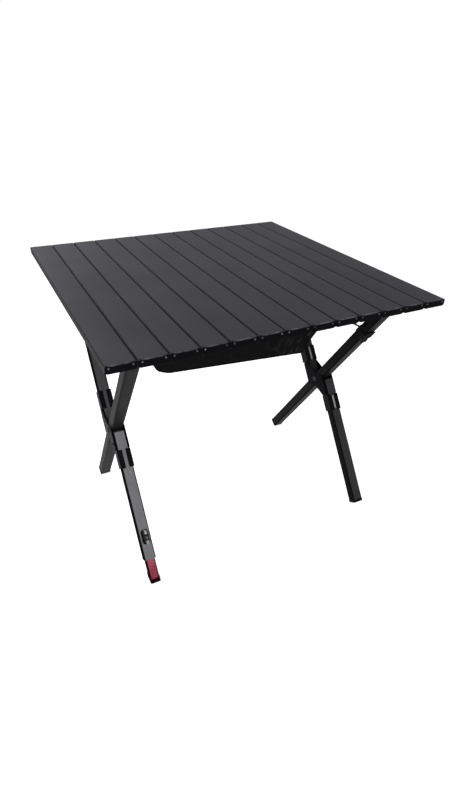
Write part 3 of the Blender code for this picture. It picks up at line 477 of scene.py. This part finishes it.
# Finishes with painted shade or painted highlight: the wing screw and the caps.
print("painted light finishes", 2)

# %% [markdown]
# Cloth is read from its own map: U and V on the net and the webbing are lengths in metres along
# the cloth, so a hole or a rib keeps its size however the cloth hangs. The net's holes lie in a
# honeycomb, which is the sum of three cosines at sixty degrees to each other. Webbing is woven
# in narrow ribs, with a row of slanted floats between them.

# %% Cloth finishes
def waves(tree, vector, direction, pitch):
    """Cosine along a direction of the cloth's map, one wave for each pitch."""
    per_metre = tuple(2 * math.pi / pitch * d for d in direction)
    along = add_node(tree, "VectorMath", {0: vector, 1: per_metre}, operation="DOT_PRODUCT")
    return arithmetic(tree, "COSINE", along.outputs["Value"])


def total(tree, *values):
    """Sum of several sockets."""
    result = values[0]
    for value in values[1:]:
        result = arithmetic(tree, "ADD", result, value)
    return result


# Painted highlight on the net's folds: how much paler they are, and where along X it grows.
NET_FOLD_HIGHLIGHT = 3.5
NET_FOLD_HIGHLIGHT_X = (0.04, 0.18)


def netting(name, thread, hole, pitch):
    """Knitted net: honeycomb holes where three cosines at sixty degrees add up high, and pale upright folds
    of painted highlight towards its right end.
    """
    made, tree, shader = new_finish(name, Specular_IOR_Level=0.0)
    cloth = add_node(tree, "TexCoord").outputs["UV"]
    half, high = 0.5, math.sqrt(3) / 2
    directions = ((1, 0, 0), (-half, high, 0), (-half, -high, 0))
    comb = total(tree, *[waves(tree, cloth, direction, pitch) for direction in directions])
    holes = ramp(tree, comb, 0.0, 1.6, 0, 1)
    fuzz = noise(tree, place_in(tree), 700.0, 3.0)
    surface_tone = blend_colours(tree, fuzz, shade(thread, 0.6), shade(thread, 1.4))
    # Painted highlight: pale upright folds, faint at the left and full towards the right end.
    folds = ramp(tree, noise(tree, place_in(tree, (85, 85, 7)), 1.0, 2.0), 0.5, 0.72, 0, 1)
    place = add_node(tree, "SeparateXYZ", {0: place_in(tree)}).outputs["X"]
    fold_highlight = arithmetic(tree, "MULTIPLY", folds, ramp(tree, place, *NET_FOLD_HIGHLIGHT_X, 0.1, 1))
    surface_tone = blend_colours(tree, fold_highlight, surface_tone, shade(thread, NET_FOLD_HIGHLIGHT))
    tree.links.new(blend_colours(tree, holes, surface_tone, hole), shader.inputs["Base Color"])
    tree.links.new(ramp(tree, holes, 0, 1, 0.65, 0.95), shader.inputs["Roughness"])
    raise_surface(tree, shader, ramp(tree, comb, -1.5, 1.6, 1, 0), 0.0006)
    return made


def woven(name, colour, rib, float_pitch):
    """Webbing: ribs across the band, and slanted floats in between."""
    made, tree, shader = new_finish(name, Sheen_Weight=0.04, Sheen_Roughness=0.4, Specular_IOR_Level=0.03)
    cloth = add_node(tree, "TexCoord").outputs["UV"]
    weave = total(tree, waves(tree, cloth, (0, 1, 0), rib), waves(tree, cloth, (1, 0.6, 0), float_pitch))
    fuzz = noise(tree, place_in(tree), 900.0, 3.0)
    surface_tone = blend_colours(tree, fuzz, shade(colour, 0.7), shade(colour, 1.5))
    tone = blend_colours(tree, ramp(tree, weave, -2, 2, 0, 1), shade(colour, 0.4), surface_tone)
    tree.links.new(tone, shader.inputs["Base Color"])
    shader.inputs["Roughness"].default_value = 0.85
    raise_surface(tree, shader, weave, 0.00025)
    return made


net_finish = netting("black_net", (0.021, 0.021, 0.0215), (0.003, 0.003, 0.003), 0.0032)
webbing_finish = woven("black_webbing", (0.016, 0.0155, 0.016), 0.0022, 0.0018)
binding_finish = woven("net_binding", (0.009, 0.009, 0.01), 0.0016, 0.0013)
elastic_finish = woven("elastic_braid", (0.012, 0.012, 0.012), 0.0011, 0.0009)
print("cloth finishes", 4)

# %% [markdown]
# Every CAD node that stays gets its finish here, by its name. The slats, the cords, the net and
# the webbing aren't in this list, because modelled pieces replace them further on.

# %% Dress the nodes that stay
def finish_of(name):
    """Finish of a carried-over node, from the words in its name."""
    if name in tube_finishes:
        return tube_finishes[name]
    for word, finish in (
        ("_rail", rail_finish),
        ("bracket", black_steel_finish),
        ("hub_pin", black_steel_finish),
        ("hub_plate", blued_finish),
        ("foot_knob", casting_finish),
        ("levelling_foot", red_tube_finish),
        ("foot_pad", rubber_finish),
    ):
        if word in name:
            return finish
    return plastic_finish


for name, node in nodes.items():
    node.data.materials.clear()
    node.data.materials.append(finish_of(name))
print("dressed", len(nodes), "nodes")

# %% [markdown]
# All new pieces are drawn the same way: an outline of points, carried along a path as one whole
# array. Three helpers do it. The first rounds the corners of an outline, the second carries the
# outline between stations, and the third turns arrays into an object, with its normals outwards.

# %% Shape helpers
def rounded(corners, radii, steps=6):
    """Outline with each corner replaced by the arc that touches both its sides, in `steps` parts."""
    corner = np.asarray(corners, float)
    radius = np.broadcast_to(np.asarray(radii, float), len(corner))[:, None]
    before = np.roll(corner, 1, 0) - corner
    after = np.roll(corner, -1, 0) - corner
    before /= np.linalg.norm(before, axis=1, keepdims=True)
    after /= np.linalg.norm(after, axis=1, keepdims=True)
    half = np.arccos(np.clip((before * after).sum(1, keepdims=True), -1, 1)) / 2
    middle = before + after
    middle /= np.linalg.norm(middle, axis=1, keepdims=True)
    centre = corner + middle * radius / np.sin(half)
    start = corner + before * radius / np.tan(half) - centre
    end = corner + after * radius / np.tan(half) - centre
    first = np.arctan2(start[:, 1], start[:, 0])[:, None]
    sweep = np.arctan2(end[:, 1], end[:, 0])[:, None] - first
    sweep = (sweep + np.pi) % (2 * np.pi) - np.pi
    turns = first + sweep * np.linspace(0, 1, steps + 1)
    arcs = centre[:, None] + radius[:, None] * np.stack([np.cos(turns), np.sin(turns)], -1)
    keep = np.ones(arcs.shape[:2], bool)
    keep[radius[:, 0] == 0, 1:] = False
    return arcs[keep]


def disc(radius, sides, centre=(0, 0)):
    """Outline of a circle."""
    turns = np.arange(sides) * 2 * np.pi / sides
    return np.stack([centre[0] + radius * np.cos(turns), centre[1] + radius * np.sin(turns)], -1)


def strips(rows, columns, closed=True):
    """Quads between neighbouring rows of a grid whose rows may close on themselves."""
    i, j = np.meshgrid(np.arange(rows - 1), np.arange(columns if closed else columns - 1), indexing="ij")
    here = i * columns + j
    beside = i * columns + (j + 1) % columns
    return np.stack([here, beside, beside + columns, here + columns], -1).reshape(-1, 4)


def carried(outline, stations, across, up, ends=True):
    """Outline (n, 2) set up at each station (m, 3), its axes along `across` and `up`, its ends closed."""
    outline = np.asarray(outline, float)
    stations = np.asarray(stations, float)
    across = np.broadcast_to(np.asarray(across, float), stations.shape)
    up = np.broadcast_to(np.asarray(up, float), stations.shape)
    points = stations[:, None] + outline[None, :, :1] * across[:, None] + outline[None, :, 1:] * up[:, None]
    rows, columns = points.shape[:2]
    faces = strips(rows, columns).tolist()
    if ends:
        faces += [list(range(columns))[::-1], list(range((rows - 1) * columns, rows * columns))]
    return points.reshape(-1, 3), faces


def joined(*parts):
    """Several (points, faces) as one."""
    points, faces, count = [], [], 0
    for part_points, part_faces in parts:
        points.append(part_points)
        faces += [[index + count for index in face] for face in part_faces]
        count += len(part_points)
    return np.concatenate(points), faces


def add_piece(name, shape, finish, smooth=35.0, bevel=0.0, segments=2):
    """Object from (points, faces) in the frame of the table, its faces turned outwards."""
    mesh = bpy.data.meshes.new(name)
    mesh.from_pydata(np.asarray(shape[0]).tolist(), [], shape[1])
    bm = bmesh.new()
    bm.from_mesh(mesh)
    bmesh.ops.remove_doubles(bm, verts=bm.verts, dist=1e-6)
    bmesh.ops.recalc_face_normals(bm, faces=bm.faces)
    bm.to_mesh(mesh)
    bm.free()
    mesh.materials.append(finish)
    mesh.shade_smooth()
    mesh.set_sharp_from_angle(angle=math.radians(smooth))
    piece = bpy.data.objects.new(name, mesh)
    bpy.context.scene.collection.objects.link(piece)
    if bevel:
        edge = piece.modifiers.new("edge", "BEVEL")
        edge.width = bevel
        edge.segments = segments
        edge.limit_method = "ANGLE"
        edge.harden_normals = True
    return piece


print("helpers ready")

# %% [markdown]
# A slat is one aluminium extrusion, open underneath, with a rounded edge along each side and two lips that
# stiffen it. A press makes it by pushing metal through a die, so it has one outline along its whole length,
# and that outline carried from front to back is the piece. The joints between slats show as dark lines
# because the edges fall away into a one millimetre gap, and the slat finish adds painted shade along them.

# %% Slat extrusions
SLATS = 13
SLAT_WIDTH = 0.0529
SLAT_LENGTH = 0.700
SLAT_HEIGHT = 0.014
SLAT_WALL = 0.0012
SLAT_LIP = 0.0055
SLAT_EDGE = 0.0016
CAP_THICKNESS = 0.004


def slat_outline():
    """Channel seen from the front: round top edges, thin walls, lips turned in below."""
    half, inner, lip = SLAT_WIDTH / 2, SLAT_WIDTH / 2 - SLAT_WALL, SLAT_WIDTH / 2 - SLAT_LIP
    low, floor = -SLAT_HEIGHT, -SLAT_HEIGHT + SLAT_WALL
    outside = [(half, 0, SLAT_EDGE), (half, low, SLAT_WALL / 2), (lip, low, 0.0003)]
    inside = [(lip, floor, 0.0003), (inner, floor, 0.0004), (inner, -SLAT_WALL, 0.0006)]
    side = outside + inside
    whole = np.array(side + [(-x, z, r) for x, z, r in reversed(side)])
    return rounded(whole[:, :2], whole[:, 2])


middle_slat = SLATS // 2 + 1
slat_body = {k: "top" if k == middle_slat else f"slat_{k:02d}" for k in range(1, SLATS + 1)}
slat_x = {k: (k - middle_slat) * PITCH for k in range(1, SLATS + 1)}
metal_end = SLAT_LENGTH / 2 - CAP_THICKNESS
for k in range(1, SLATS + 1):
    run = [(slat_x[k], -metal_end, TOP), (slat_x[k], metal_end, TOP)]
    profile = carried(slat_outline(), run, (1, 0, 0), (0, 0, 1))
    slat = add_piece(f"slat_profile_{k:02d}", profile, slat_finish)
    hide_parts(f"slat_{k:02d}")
    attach(slat, slat_body[k])
print("slats", SLATS, "outline points", len(slat_outline()))

# %% [markdown]
# Each slat ends in a black plastic cap: a flange over the cut metal and a plug pressed into the
# channel. The flange's lower corners are round, which gives the table's front edge its row of
# small scallops. Near each upper corner sits the bright dome of a pin that holds the cap and
# that the elastic cord passes behind.

# %% End caps
CAP_ROUND = 0.005
CAP_PLUG = 0.022
CAP_EDGE = 0.0009
PIN_INSET = 0.0068
PIN_DROP = 0.0042
PIN_RADIUS = 0.0017
PIN_HEIGHT = 0.0008
PIN_SUNK = 0.0005
PIN_SEAT = 0.0003
CAP_OVERLAP = 0.0004


def cap_shape(x, side):
    """Flange and plug of one cap: two prisms along Y, the flange outermost."""
    half, low = SLAT_WIDTH / 2, -SLAT_HEIGHT + 0.0002
    radii = [SLAT_EDGE, CAP_ROUND, CAP_ROUND, SLAT_EDGE]
    flange = rounded([(-half, 0), (-half, low), (half, low), (half, 0)], radii)
    inner, high = half - SLAT_WALL, -SLAT_WALL
    low += SLAT_WALL
    plug = rounded([(-inner, high), (-inner, low), (inner, low), (inner, high)], 0.0006, 2)
    end = side * SLAT_LENGTH / 2
    face = end - side * CAP_THICKNESS
    inward, outward = face - side * CAP_PLUG, face + side * CAP_OVERLAP
    return joined(
        carried(flange, [(x, face, TOP), (x, end, TOP)], (1, 0, 0), (0, 0, 1)),
        carried(plug, [(x, outward, TOP), (x, inward, TOP)], (1, 0, 0), (0, 0, 1)),
    )


def dome(centre, axis, radius, height, rings=4, sides=14):
    """Round head: circles that shrink as the cosine while they rise as the sine."""
    rise = np.linspace(0, np.pi / 2, rings + 1)[:-1]
    axis = np.asarray(axis, float)
    across = np.cross(axis, (0, 0, 1)) if abs(axis[2]) < 0.9 else np.cross(axis, (1, 0, 0))
    across /= np.linalg.norm(across)
    up = np.cross(axis, across)
    turns = np.arange(sides) * 2 * np.pi / sides
    circle = np.cos(turns)[:, None] * across + np.sin(turns)[:, None] * up
    centre = np.asarray(centre)
    rows = [centre - axis * PIN_SUNK + radius * circle]
    rows += [centre + radius * np.cos(t) * circle + height * np.sin(t) * axis for t in rise]
    points = np.concatenate(rows + [[centre + height * axis]])
    faces = strips(len(rows), sides).tolist()
    last = (len(rows) - 1) * sides
    faces += [[last + i, last + (i + 1) % sides, len(points) - 1] for i in range(sides)]
    faces.append(list(range(sides))[::-1])
    return points, faces


for k in range(1, SLATS + 1):
    both = joined(cap_shape(slat_x[k], -1), cap_shape(slat_x[k], 1))
    caps = add_piece(f"end_caps_{k:02d}", both, cap_finish, bevel=CAP_EDGE)
    heads = []
    for side in (-1, 1):
        for edge in (-1, 1):
            x = slat_x[k] + edge * (SLAT_WIDTH / 2 - PIN_INSET)
            place = (x, side * (SLAT_LENGTH / 2 - PIN_SEAT), TOP - PIN_DROP)
            heads.append(dome(place, (0, side, 0), PIN_RADIUS, PIN_HEIGHT))
    pins = add_piece(f"cap_pins_{k:02d}", joined(*heads), zinc_finish)
    for piece, slot in ((caps, "slat"), (pins, "steel")):
        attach(piece, slat_body[k])
print("end caps", 2 * SLATS)

# %% [markdown]
# Two elastic cords run through all the slats and keep the top together when it is rolled. Only the short
# stretches between neighbouring slats ever show, and in the real table each bends where its joint folds.
# Here each joint gets its own stretch, a tube from one slat into the next, fixed in the frame of the table.

# %% Elastic cord links
CORD_RADIUS = 0.0015
CORD_Y = SLAT_LENGTH / 2 - 0.018
CORD_Z = TOP - 0.007
LINK_REACH = 0.009
LINK_POINTS = 15

for k in range(1, SLATS):
    x = (slat_x[k] + slat_x[k + 1]) / 2
    stations = np.linspace(x - LINK_REACH, x + LINK_REACH, LINK_POINTS)
    link_parts = []
    for y in (-CORD_Y, CORD_Y):
        run = np.stack([stations, np.full(LINK_POINTS, y), np.full(LINK_POINTS, CORD_Z)], -1)
        link_parts.append(carried(disc(CORD_RADIUS, 10), run, (0, 1, 0), (0, 0, 1)))
    link = add_piece(f"cord_link_{k:02d}", joined(*link_parts), elastic_finish)
    if k == 1:
        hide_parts("elastic_cord_front", "elastic_cord_rear")
    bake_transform(link)
print("cord links", SLATS - 1)

# %% [markdown]
# The storage net hangs under the top from four webbing straps. It is one knitted cloth sewn to a
# tray: its rim is wider than its floor, the walls belly out between them, the rim sinks a little
# between the straps, and the ends are gathered into upright folds. One grid makes it. Its rows
# run round the tray and its columns go from the rim down the wall and in to the floor's middle.

# %% Storage net
NET_RIM_Z = 0.574
NET_TOP_X = (-0.205, 0.240)
NET_FLOOR_X = (-0.172, 0.190)
NET_FULLNESS = (0.3, 2.5)
NET_TOP_DEPTH = 0.330
NET_FLOOR_DEPTH = 0.220
NET_DROP = (0.109, 0.133)
NET_CORNER = 0.014
NET_SAG = 0.006
NET_SLACK = 0.005
NET_BELLY = 0.005
NET_FOLDS = 46
NET_GATHER = (0.0012, 0.0022)
STRAP_X = (-0.145, 0.180)
FRONT_RAIL_Y = -0.241404
REAR_RAIL_Y = 0.232404


def tray_ring(x_ends, depth, corner, side_points=24, arc_points=8):
    """Rounded rectangle with the same count of points on each side and in each corner, at any size."""
    (left, far), half = x_ends, depth / 2
    corners = np.array([(left, -half), (far, -half), (far, half), (left, half)])
    arcs = rounded(corners, corner, arc_points).reshape(4, arc_points + 1, 2)
    share = np.linspace(0, 1, side_points + 1)[1:-1, None]
    sides = [arcs[i, -1] + share * (arcs[(i + 1) % 4, 0] - arcs[i, -1]) for i in range(4)]
    return np.concatenate([np.concatenate([arcs[i], sides[i]]) for i in range(4)])


def drop_at(x):
    """How far below the rim the net's floor hangs: more to the right."""
    share = (x - NET_FLOOR_X[0]) / (NET_FLOOR_X[1] - NET_FLOOR_X[0])
    return NET_DROP[0] + (NET_DROP[1] - NET_DROP[0]) * share


def net_surface(wall_rows=22, floor_rows=12):
    """Rows from the rim down the wall by a share t, then in over the floor by a share f."""
    rim = tray_ring(NET_TOP_X, NET_TOP_DEPTH, NET_CORNER)
    floor = tray_ring(NET_FLOOR_X, NET_FLOOR_DEPTH, NET_CORNER)
    centre = floor.mean(0)
    around = np.linspace(0, 1, len(rim), endpoint=False)[None, :]
    t = np.linspace(0, 1, wall_rows)[:, None]
    fullness = np.interp(rim[:, 0], NET_TOP_X, NET_FULLNESS)[None, :]
    steep = np.stack([(1 - t) ** fullness, np.broadcast_to(1 - t, (wall_rows, len(rim)))], -1)
    plan = floor[None] + steep * (rim - floor)[None]
    outward = rim - rim.mean(0)
    outward /= np.linalg.norm(outward, axis=1, keepdims=True)
    belly = NET_BELLY * np.sin(np.pi * t) ** 1.5
    at_ends = np.clip((np.abs(rim[:, 0] - np.mean(NET_TOP_X)) - 0.17) / 0.05, 0, 1)[None, :]
    folds = np.cos(2 * np.pi * NET_FOLDS * around + 2 * np.sin(2 * np.pi * 3 * around))
    gathers = (NET_GATHER[0] + NET_GATHER[1] * at_ends) * np.exp(-2.2 * t) * folds
    plan = plan + (belly + gathers)[..., None] * outward[None]
    between = np.clip((rim[:, 0] - STRAP_X[0]) / (STRAP_X[1] - STRAP_X[0]), 0, 1)
    slack = np.sin(np.pi * between)[None, :] ** 2
    height = NET_RIM_Z - drop_at(plan[..., 0]) * t - NET_SLACK * slack * (1 - t)
    wall = np.concatenate([plan, height[..., None]], -1)
    f = np.linspace(0, 1, floor_rows + 1)[1:-1, None, None]
    inner = floor[None] + f * (centre - floor)[None]
    sag = NET_SAG * np.sin(np.pi / 2 * f[..., 0])
    bottom = np.concatenate([inner, (NET_RIM_Z - drop_at(inner[..., 0]) - sag)[..., None]], -1)
    return np.concatenate([wall, bottom]), centre


net_grid, net_centre = net_surface()
net_rows, net_columns = net_grid.shape[:2]
net_points = net_grid.reshape(-1, 3)
net_bottom = net_grid[-1].mean(0) - (0, 0, 0.0006)
net_faces = strips(net_rows, net_columns).tolist()
last_row = (net_rows - 1) * net_columns
net_faces += [[last_row + i, last_row + (i + 1) % net_columns, len(net_points)] for i in range(net_columns)]
net_points = np.concatenate([net_points, [net_bottom]])
net = add_piece("net_cloth", (net_points, net_faces), net_finish, smooth=180)
print("net points", len(net_points))

# %% [markdown]
# The net's map gives each point its place on the flat cloth: U is the length round the tray, V the length
# from the rim downwards. Near the floor's middle the rows shorten, so there the map changes to plain X and
# Y.

# %% Net map and cut
def map_by(piece, lengths):
    """UV map whose values are lengths in metres, given for each vertex."""
    mesh = piece.data
    corner = np.empty(len(mesh.loops), np.int32)
    mesh.loops.foreach_get("vertex_index", corner)
    layer = mesh.uv_layers.new(name="cloth")
    layer.data.foreach_set("uv", lengths[corner].astype(np.float32).ravel())


def net_lengths(piece):
    """Lengths on the net: X or Y along the wall it lies in, and the height, or X and Y on the floor."""
    place = np.array([v.co for v in piece.data.vertices])
    normal = np.array([v.normal for v in piece.data.vertices])
    flat = np.abs(normal[:, 2]) > 0.75
    end = np.abs(normal[:, 0]) > np.abs(normal[:, 1])
    along = np.where(end, place[:, 1], place[:, 0])
    down = np.where(flat, place[:, 1], place[:, 2])
    along = np.where(flat, place[:, 0], along)
    return np.stack([along, down], -1)


map_by(net, net_lengths(net))

# %% [markdown]
# The straps are flat webbing, sewn to the net's rim and wrapped round the rails. Webbing is a thin
# rectangle carried along a path that sags a little. The front and rear rails come together when the frame
# folds, and the real net crumples between them.

# %% Binding and straps
BAND = 0.0014
BAND_WIDTH = 0.020
STRAP_TOP = 0.6022
STRAP_SAG = 0.002
HEM_HALF = (0.0013, 0.006)


def band_along(path, width, thickness, across):
    """Flat band: a thin rounded rectangle carried along a path, its width along `across`."""
    path = np.asarray(path, float)
    heading = np.gradient(path, axis=0)
    heading /= np.linalg.norm(heading, axis=1, keepdims=True)
    across = np.broadcast_to(np.asarray(across, float), path.shape)
    thick = np.cross(heading, across)
    thick /= np.linalg.norm(thick, axis=1, keepdims=True)
    w, h = width / 2, thickness / 2
    outline = rounded([(-w, -h), (w, -h), (w, h), (-w, h)], thickness * 0.45, 2)
    return carried(outline, path, across, thick)


def band_lengths(piece, path, across):
    """Lengths on a band: its width along `across`, and the way along its path."""
    place = np.array([v.co for v in piece.data.vertices])
    path = np.asarray(path, float)
    ways = np.concatenate([[0], np.cumsum(np.linalg.norm(np.diff(path, axis=0), axis=1))])
    nearest = np.argmin(((place[:, None] - path[None]) ** 2).sum(-1), 1)
    return np.stack([place @ np.asarray(across, float), ways[nearest]], -1)


def strap_path(rail_y, rim_y):
    """Way of one strap in the side plane: from under the rim up to the rail, with a slight sag."""
    share = np.linspace(0, 1, 16)
    start, end = np.array([rim_y, NET_RIM_Z - 0.001]), np.array([rail_y, STRAP_TOP])
    line = start + share[:, None] * (end - start)
    line[:, 1] -= STRAP_SAG * np.sin(np.pi * share)
    return line


strap_pieces = []
for end, rail_y in (("front", FRONT_RAIL_Y), ("rear", REAR_RAIL_Y)):
    rim_y = math.copysign(NET_TOP_DEPTH / 2, rail_y)
    for side, x in zip(("left", "right"), STRAP_X):
        line = strap_path(rail_y, rim_y)
        path = np.column_stack([np.full(len(line), x), line])
        band = band_along(path, BAND_WIDTH, BAND, (1, 0, 0))
        strap = add_piece(f"net_webbing_{end}_{side}", band, webbing_finish)
        map_by(strap, band_lengths(strap, path, (1, 0, 0)))
        if end == "rear":
            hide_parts(f"net_strap_{side}")
        strap_pieces.append(strap)

rim_path = np.concatenate([net_grid[0], net_grid[:1, 0]])
rim_heading = np.roll(net_grid[0], -1, 0) - np.roll(net_grid[0], 1, 0)
rim_heading = np.concatenate([rim_heading, rim_heading[:1]])
rim_heading /= np.linalg.norm(rim_heading, axis=1, keepdims=True)
rim_side = np.cross(rim_heading, (0, 0, 1))
hem_x, hem_z = HEM_HALF
hem = rounded([(-hem_x, -hem_z), (hem_x, -hem_z), (hem_x, hem_z), (-hem_x, hem_z)], 0.001, 2)
hem_shape = carried(hem, rim_path, rim_side, (0, 0, 1), ends=False)
binding = add_piece("net_binding", hem_shape, binding_finish, smooth=60)
map_by(binding, np.array([(v.co.x + v.co.y, v.co.z) for v in binding.data.vertices]))
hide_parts("storage_net")
for piece in [net, binding] + strap_pieces:
    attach(piece, "top")
    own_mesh(piece)
print("straps", len(strap_pieces))

# %% [markdown]
# A short webbing loop with a ladder buckle holds the frame shut when it is carried. Here it hangs open
# round the right outer leg. Its tail runs up to the front rail, and the free end comes out of the buckle
# down the leg. All of it is placed along the leg (a), ahead of it (f) and across it (x). On the real table
# the tail is fast to both the leg and the top; here it is fixed in the frame of the table.

# %% Strap loop
LOOP_PLACE = 0.258
LOOP_CLEAR = 0.0012
BUCKLE_PLACE = 0.264
BUCKLE_BARS = (-0.0115, 0.0, 0.0115)
BUCKLE_HALF = 0.0105
BUCKLE_FORWARD = 0.0029
BAR_HALF = 0.0019
BAR_DEPTH = 0.0026
SIDE_BAR_HALF = 0.0016
LOOP_WIDTH = 0.022
LOOP_BAND = 0.0016
END_WIDTH = 0.018
END_LENGTH = 0.042
TAIL_START = (0.27, -0.0207)
TAIL_END = np.array([0.165, FRONT_RAIL_Y, 0.6018])
TAIL_SAG = 0.003
TAIL_SIDE = np.array([0, 0.97, -0.24])
HUB = np.array([LEG_X["right"], HUB_Y, HUB_Z])
leg_along = np.array([0, -math.sin(OUTER_TILT), math.cos(OUTER_TILT)])
leg_back = np.array([0, math.cos(OUTER_TILT), math.sin(OUTER_TILT)])


def on_leg(x, a, f):
    """Points given across the right outer leg, along it from its hub, and ahead of its front face."""
    x, a, f = (value[..., None] for value in np.broadcast_arrays(x, a, f))
    return HUB + x * np.array([1.0, 0, 0]) + a * leg_along - (f + LEG_DEPTH / 2) * leg_back


def bar(first, last, half, depth):
    """Square bar with rounded corners between two points on the leg."""
    run = np.array([first, last])
    heading = (run[1] - run[0]) / np.linalg.norm(run[1] - run[0])
    deep = depth / 2
    outline = rounded([(-half, -deep), (half, -deep), (half, deep), (-half, deep)], 0.0009, 3)
    return carried(outline, run, np.cross(heading, leg_back), leg_back)


loop_x, loop_y = LEG_WIDTH / 2 + LOOP_CLEAR, LEG_DEPTH / 2 + LOOP_CLEAR
loop_corners = [(-loop_x, -loop_y), (loop_x, -loop_y), (loop_x, loop_y), (-loop_x, loop_y)]
loop_outline = rounded(loop_corners, 0.0045, 6)
loop_outline = np.concatenate([loop_outline, loop_outline[:1]])
loop_path = on_leg(loop_outline[:, 0], LOOP_PLACE, -loop_outline[:, 1] - LEG_DEPTH / 2)
loop_shape = band_along(loop_path, LOOP_WIDTH, LOOP_BAND, leg_along)
loop_band = add_piece("leg_strap", loop_shape, webbing_finish)
map_by(loop_band, band_lengths(loop_band, loop_path, leg_along))

buckle_parts = []
for a in BUCKLE_BARS:
    ends = on_leg([-BUCKLE_HALF, BUCKLE_HALF], BUCKLE_PLACE + a, BUCKLE_FORWARD)
    buckle_parts.append(bar(ends[0], ends[1], BAR_HALF, BAR_DEPTH))
side_reach = np.array([BUCKLE_BARS[0] - BAR_HALF, BUCKLE_BARS[-1] + BAR_HALF])
for x in (-BUCKLE_HALF, BUCKLE_HALF):
    ends = on_leg(x, BUCKLE_PLACE + side_reach, BUCKLE_FORWARD)
    buckle_parts.append(bar(ends[0], ends[1], SIDE_BAR_HALF, BAR_DEPTH))
buckle = add_piece("leg_strap_buckle", joined(*buckle_parts), plastic_finish)

share = np.linspace(0, 1, 14)
free_rise = 0.0034 + 0.0012 * np.sin(2.5 * np.pi * share)
free_path = on_leg(0, BUCKLE_PLACE + 0.012 - END_LENGTH * share, free_rise)
free_shape = band_along(free_path, END_WIDTH, BAND, (1, 0, 0))
free_end = add_piece("leg_strap_end", free_shape, webbing_finish)
map_by(free_end, band_lengths(free_end, free_path, (1, 0, 0)))

share = np.linspace(0, 1, 20)[:, None]
tail_start = on_leg(-LEG_WIDTH / 2 - BAND, *TAIL_START)
tail_path = tail_start + share * (TAIL_END - tail_start)
tail_path[:, 2] -= TAIL_SAG * np.sin(np.pi * share[:, 0])
tail = add_piece("leg_strap_tail", band_along(tail_path, BAND_WIDTH, BAND, TAIL_SIDE), webbing_finish)
map_by(tail, band_lengths(tail, tail_path, TAIL_SIDE))

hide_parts("strap_loop")
for piece, slot in ((loop_band, "webbing"), (buckle, "black_plastic"), (free_end, "webbing")):
    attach(piece, "outer_legs")
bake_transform(tail)
print("loop at", on_leg(0, LOOP_PLACE, 0).round(3))

# %% [markdown]
# The studio is a pale floor that runs out of view, a soft white surround and two soft boxes. One
# stands ahead of the table to its left and lights the legs. The other is above the left back
# corner, and the satin slats catch it, so the top is lightest there and darkens to the right, as
# in the photograph. To the camera, and in metal, floor and surround show as plain white.

# %% Studio
FLOOR_GLOW = 0.89
FLOOR_REACH = 30.0
FLOOR_TONE, FLOOR_TONE_SEEN = (0.3, 0.3, 0.3), (0.55, 0.55, 0.55)
SURROUND = 0.2
WHITE = (1, 1, 1, 1)
matt = {"Roughness": 0.9, "Specular_IOR_Level": 0.0, "Emission_Color": WHITE}
floor_material, floor_tree, floor_shader = new_finish("studio_floor", **matt)


def seen_directly(tree):
    """1 for rays from the camera, a mirror or through glass, and 0 for the light on matt surfaces."""
    rays = add_node(tree, "LightPath").outputs
    direct = arithmetic(tree, "MAXIMUM", rays["Is Camera Ray"], rays["Is Glossy Ray"])
    return arithmetic(tree, "MAXIMUM", direct, rays["Is Transmission Ray"])


seen = seen_directly(floor_tree)
floor_tone = blend_colours(floor_tree, seen, FLOOR_TONE, FLOOR_TONE_SEEN)
floor_tree.links.new(floor_tone, floor_shader.inputs["Base Color"])
floor_tree.links.new(ramp(floor_tree, seen, 0, 1, 0, FLOOR_GLOW), floor_shader.inputs["Emission Strength"])
floor_corners = np.array([(-1, -1, 0), (1, -1, 0), (1, 1, 0), (-1, 1, 0)]) * FLOOR_REACH
floor = add_piece("studio_floor", (floor_corners, [[0, 1, 2, 3]]), floor_material)


def lamp(name, place, target, size, power):
    """Square soft box that looks from its place at a target."""
    data = bpy.data.lights.new(name, "AREA")
    data.size = size
    data.energy = power
    made = bpy.data.objects.new(name, data)
    bpy.context.scene.collection.objects.link(made)
    made.location = place
    made.rotation_euler = (Vector(target) - Vector(place)).to_track_quat("-Z", "Y").to_euler()


lamp("front_box", (-1.2, -2.0, 1.25), (-0.2, 0, 0.4), 1.0, 30)
lamp("overhead_box", (-1.0, 1.3, 1.35), (-0.2, 0.1, 0.6), 0.8, 42)
world = bpy.data.worlds.new("surround")
world.use_nodes = True
bpy.context.scene.world = world
background = world.node_tree.nodes["Background"]
background.inputs["Color"].default_value = WHITE
strength = ramp(world.node_tree, seen_directly(world.node_tree), 0, 1, SURROUND, 1.0)
world.node_tree.links.new(strength, background.inputs["Strength"])
bpy.context.scene.view_settings.view_transform = "Standard"
print("studio ready")
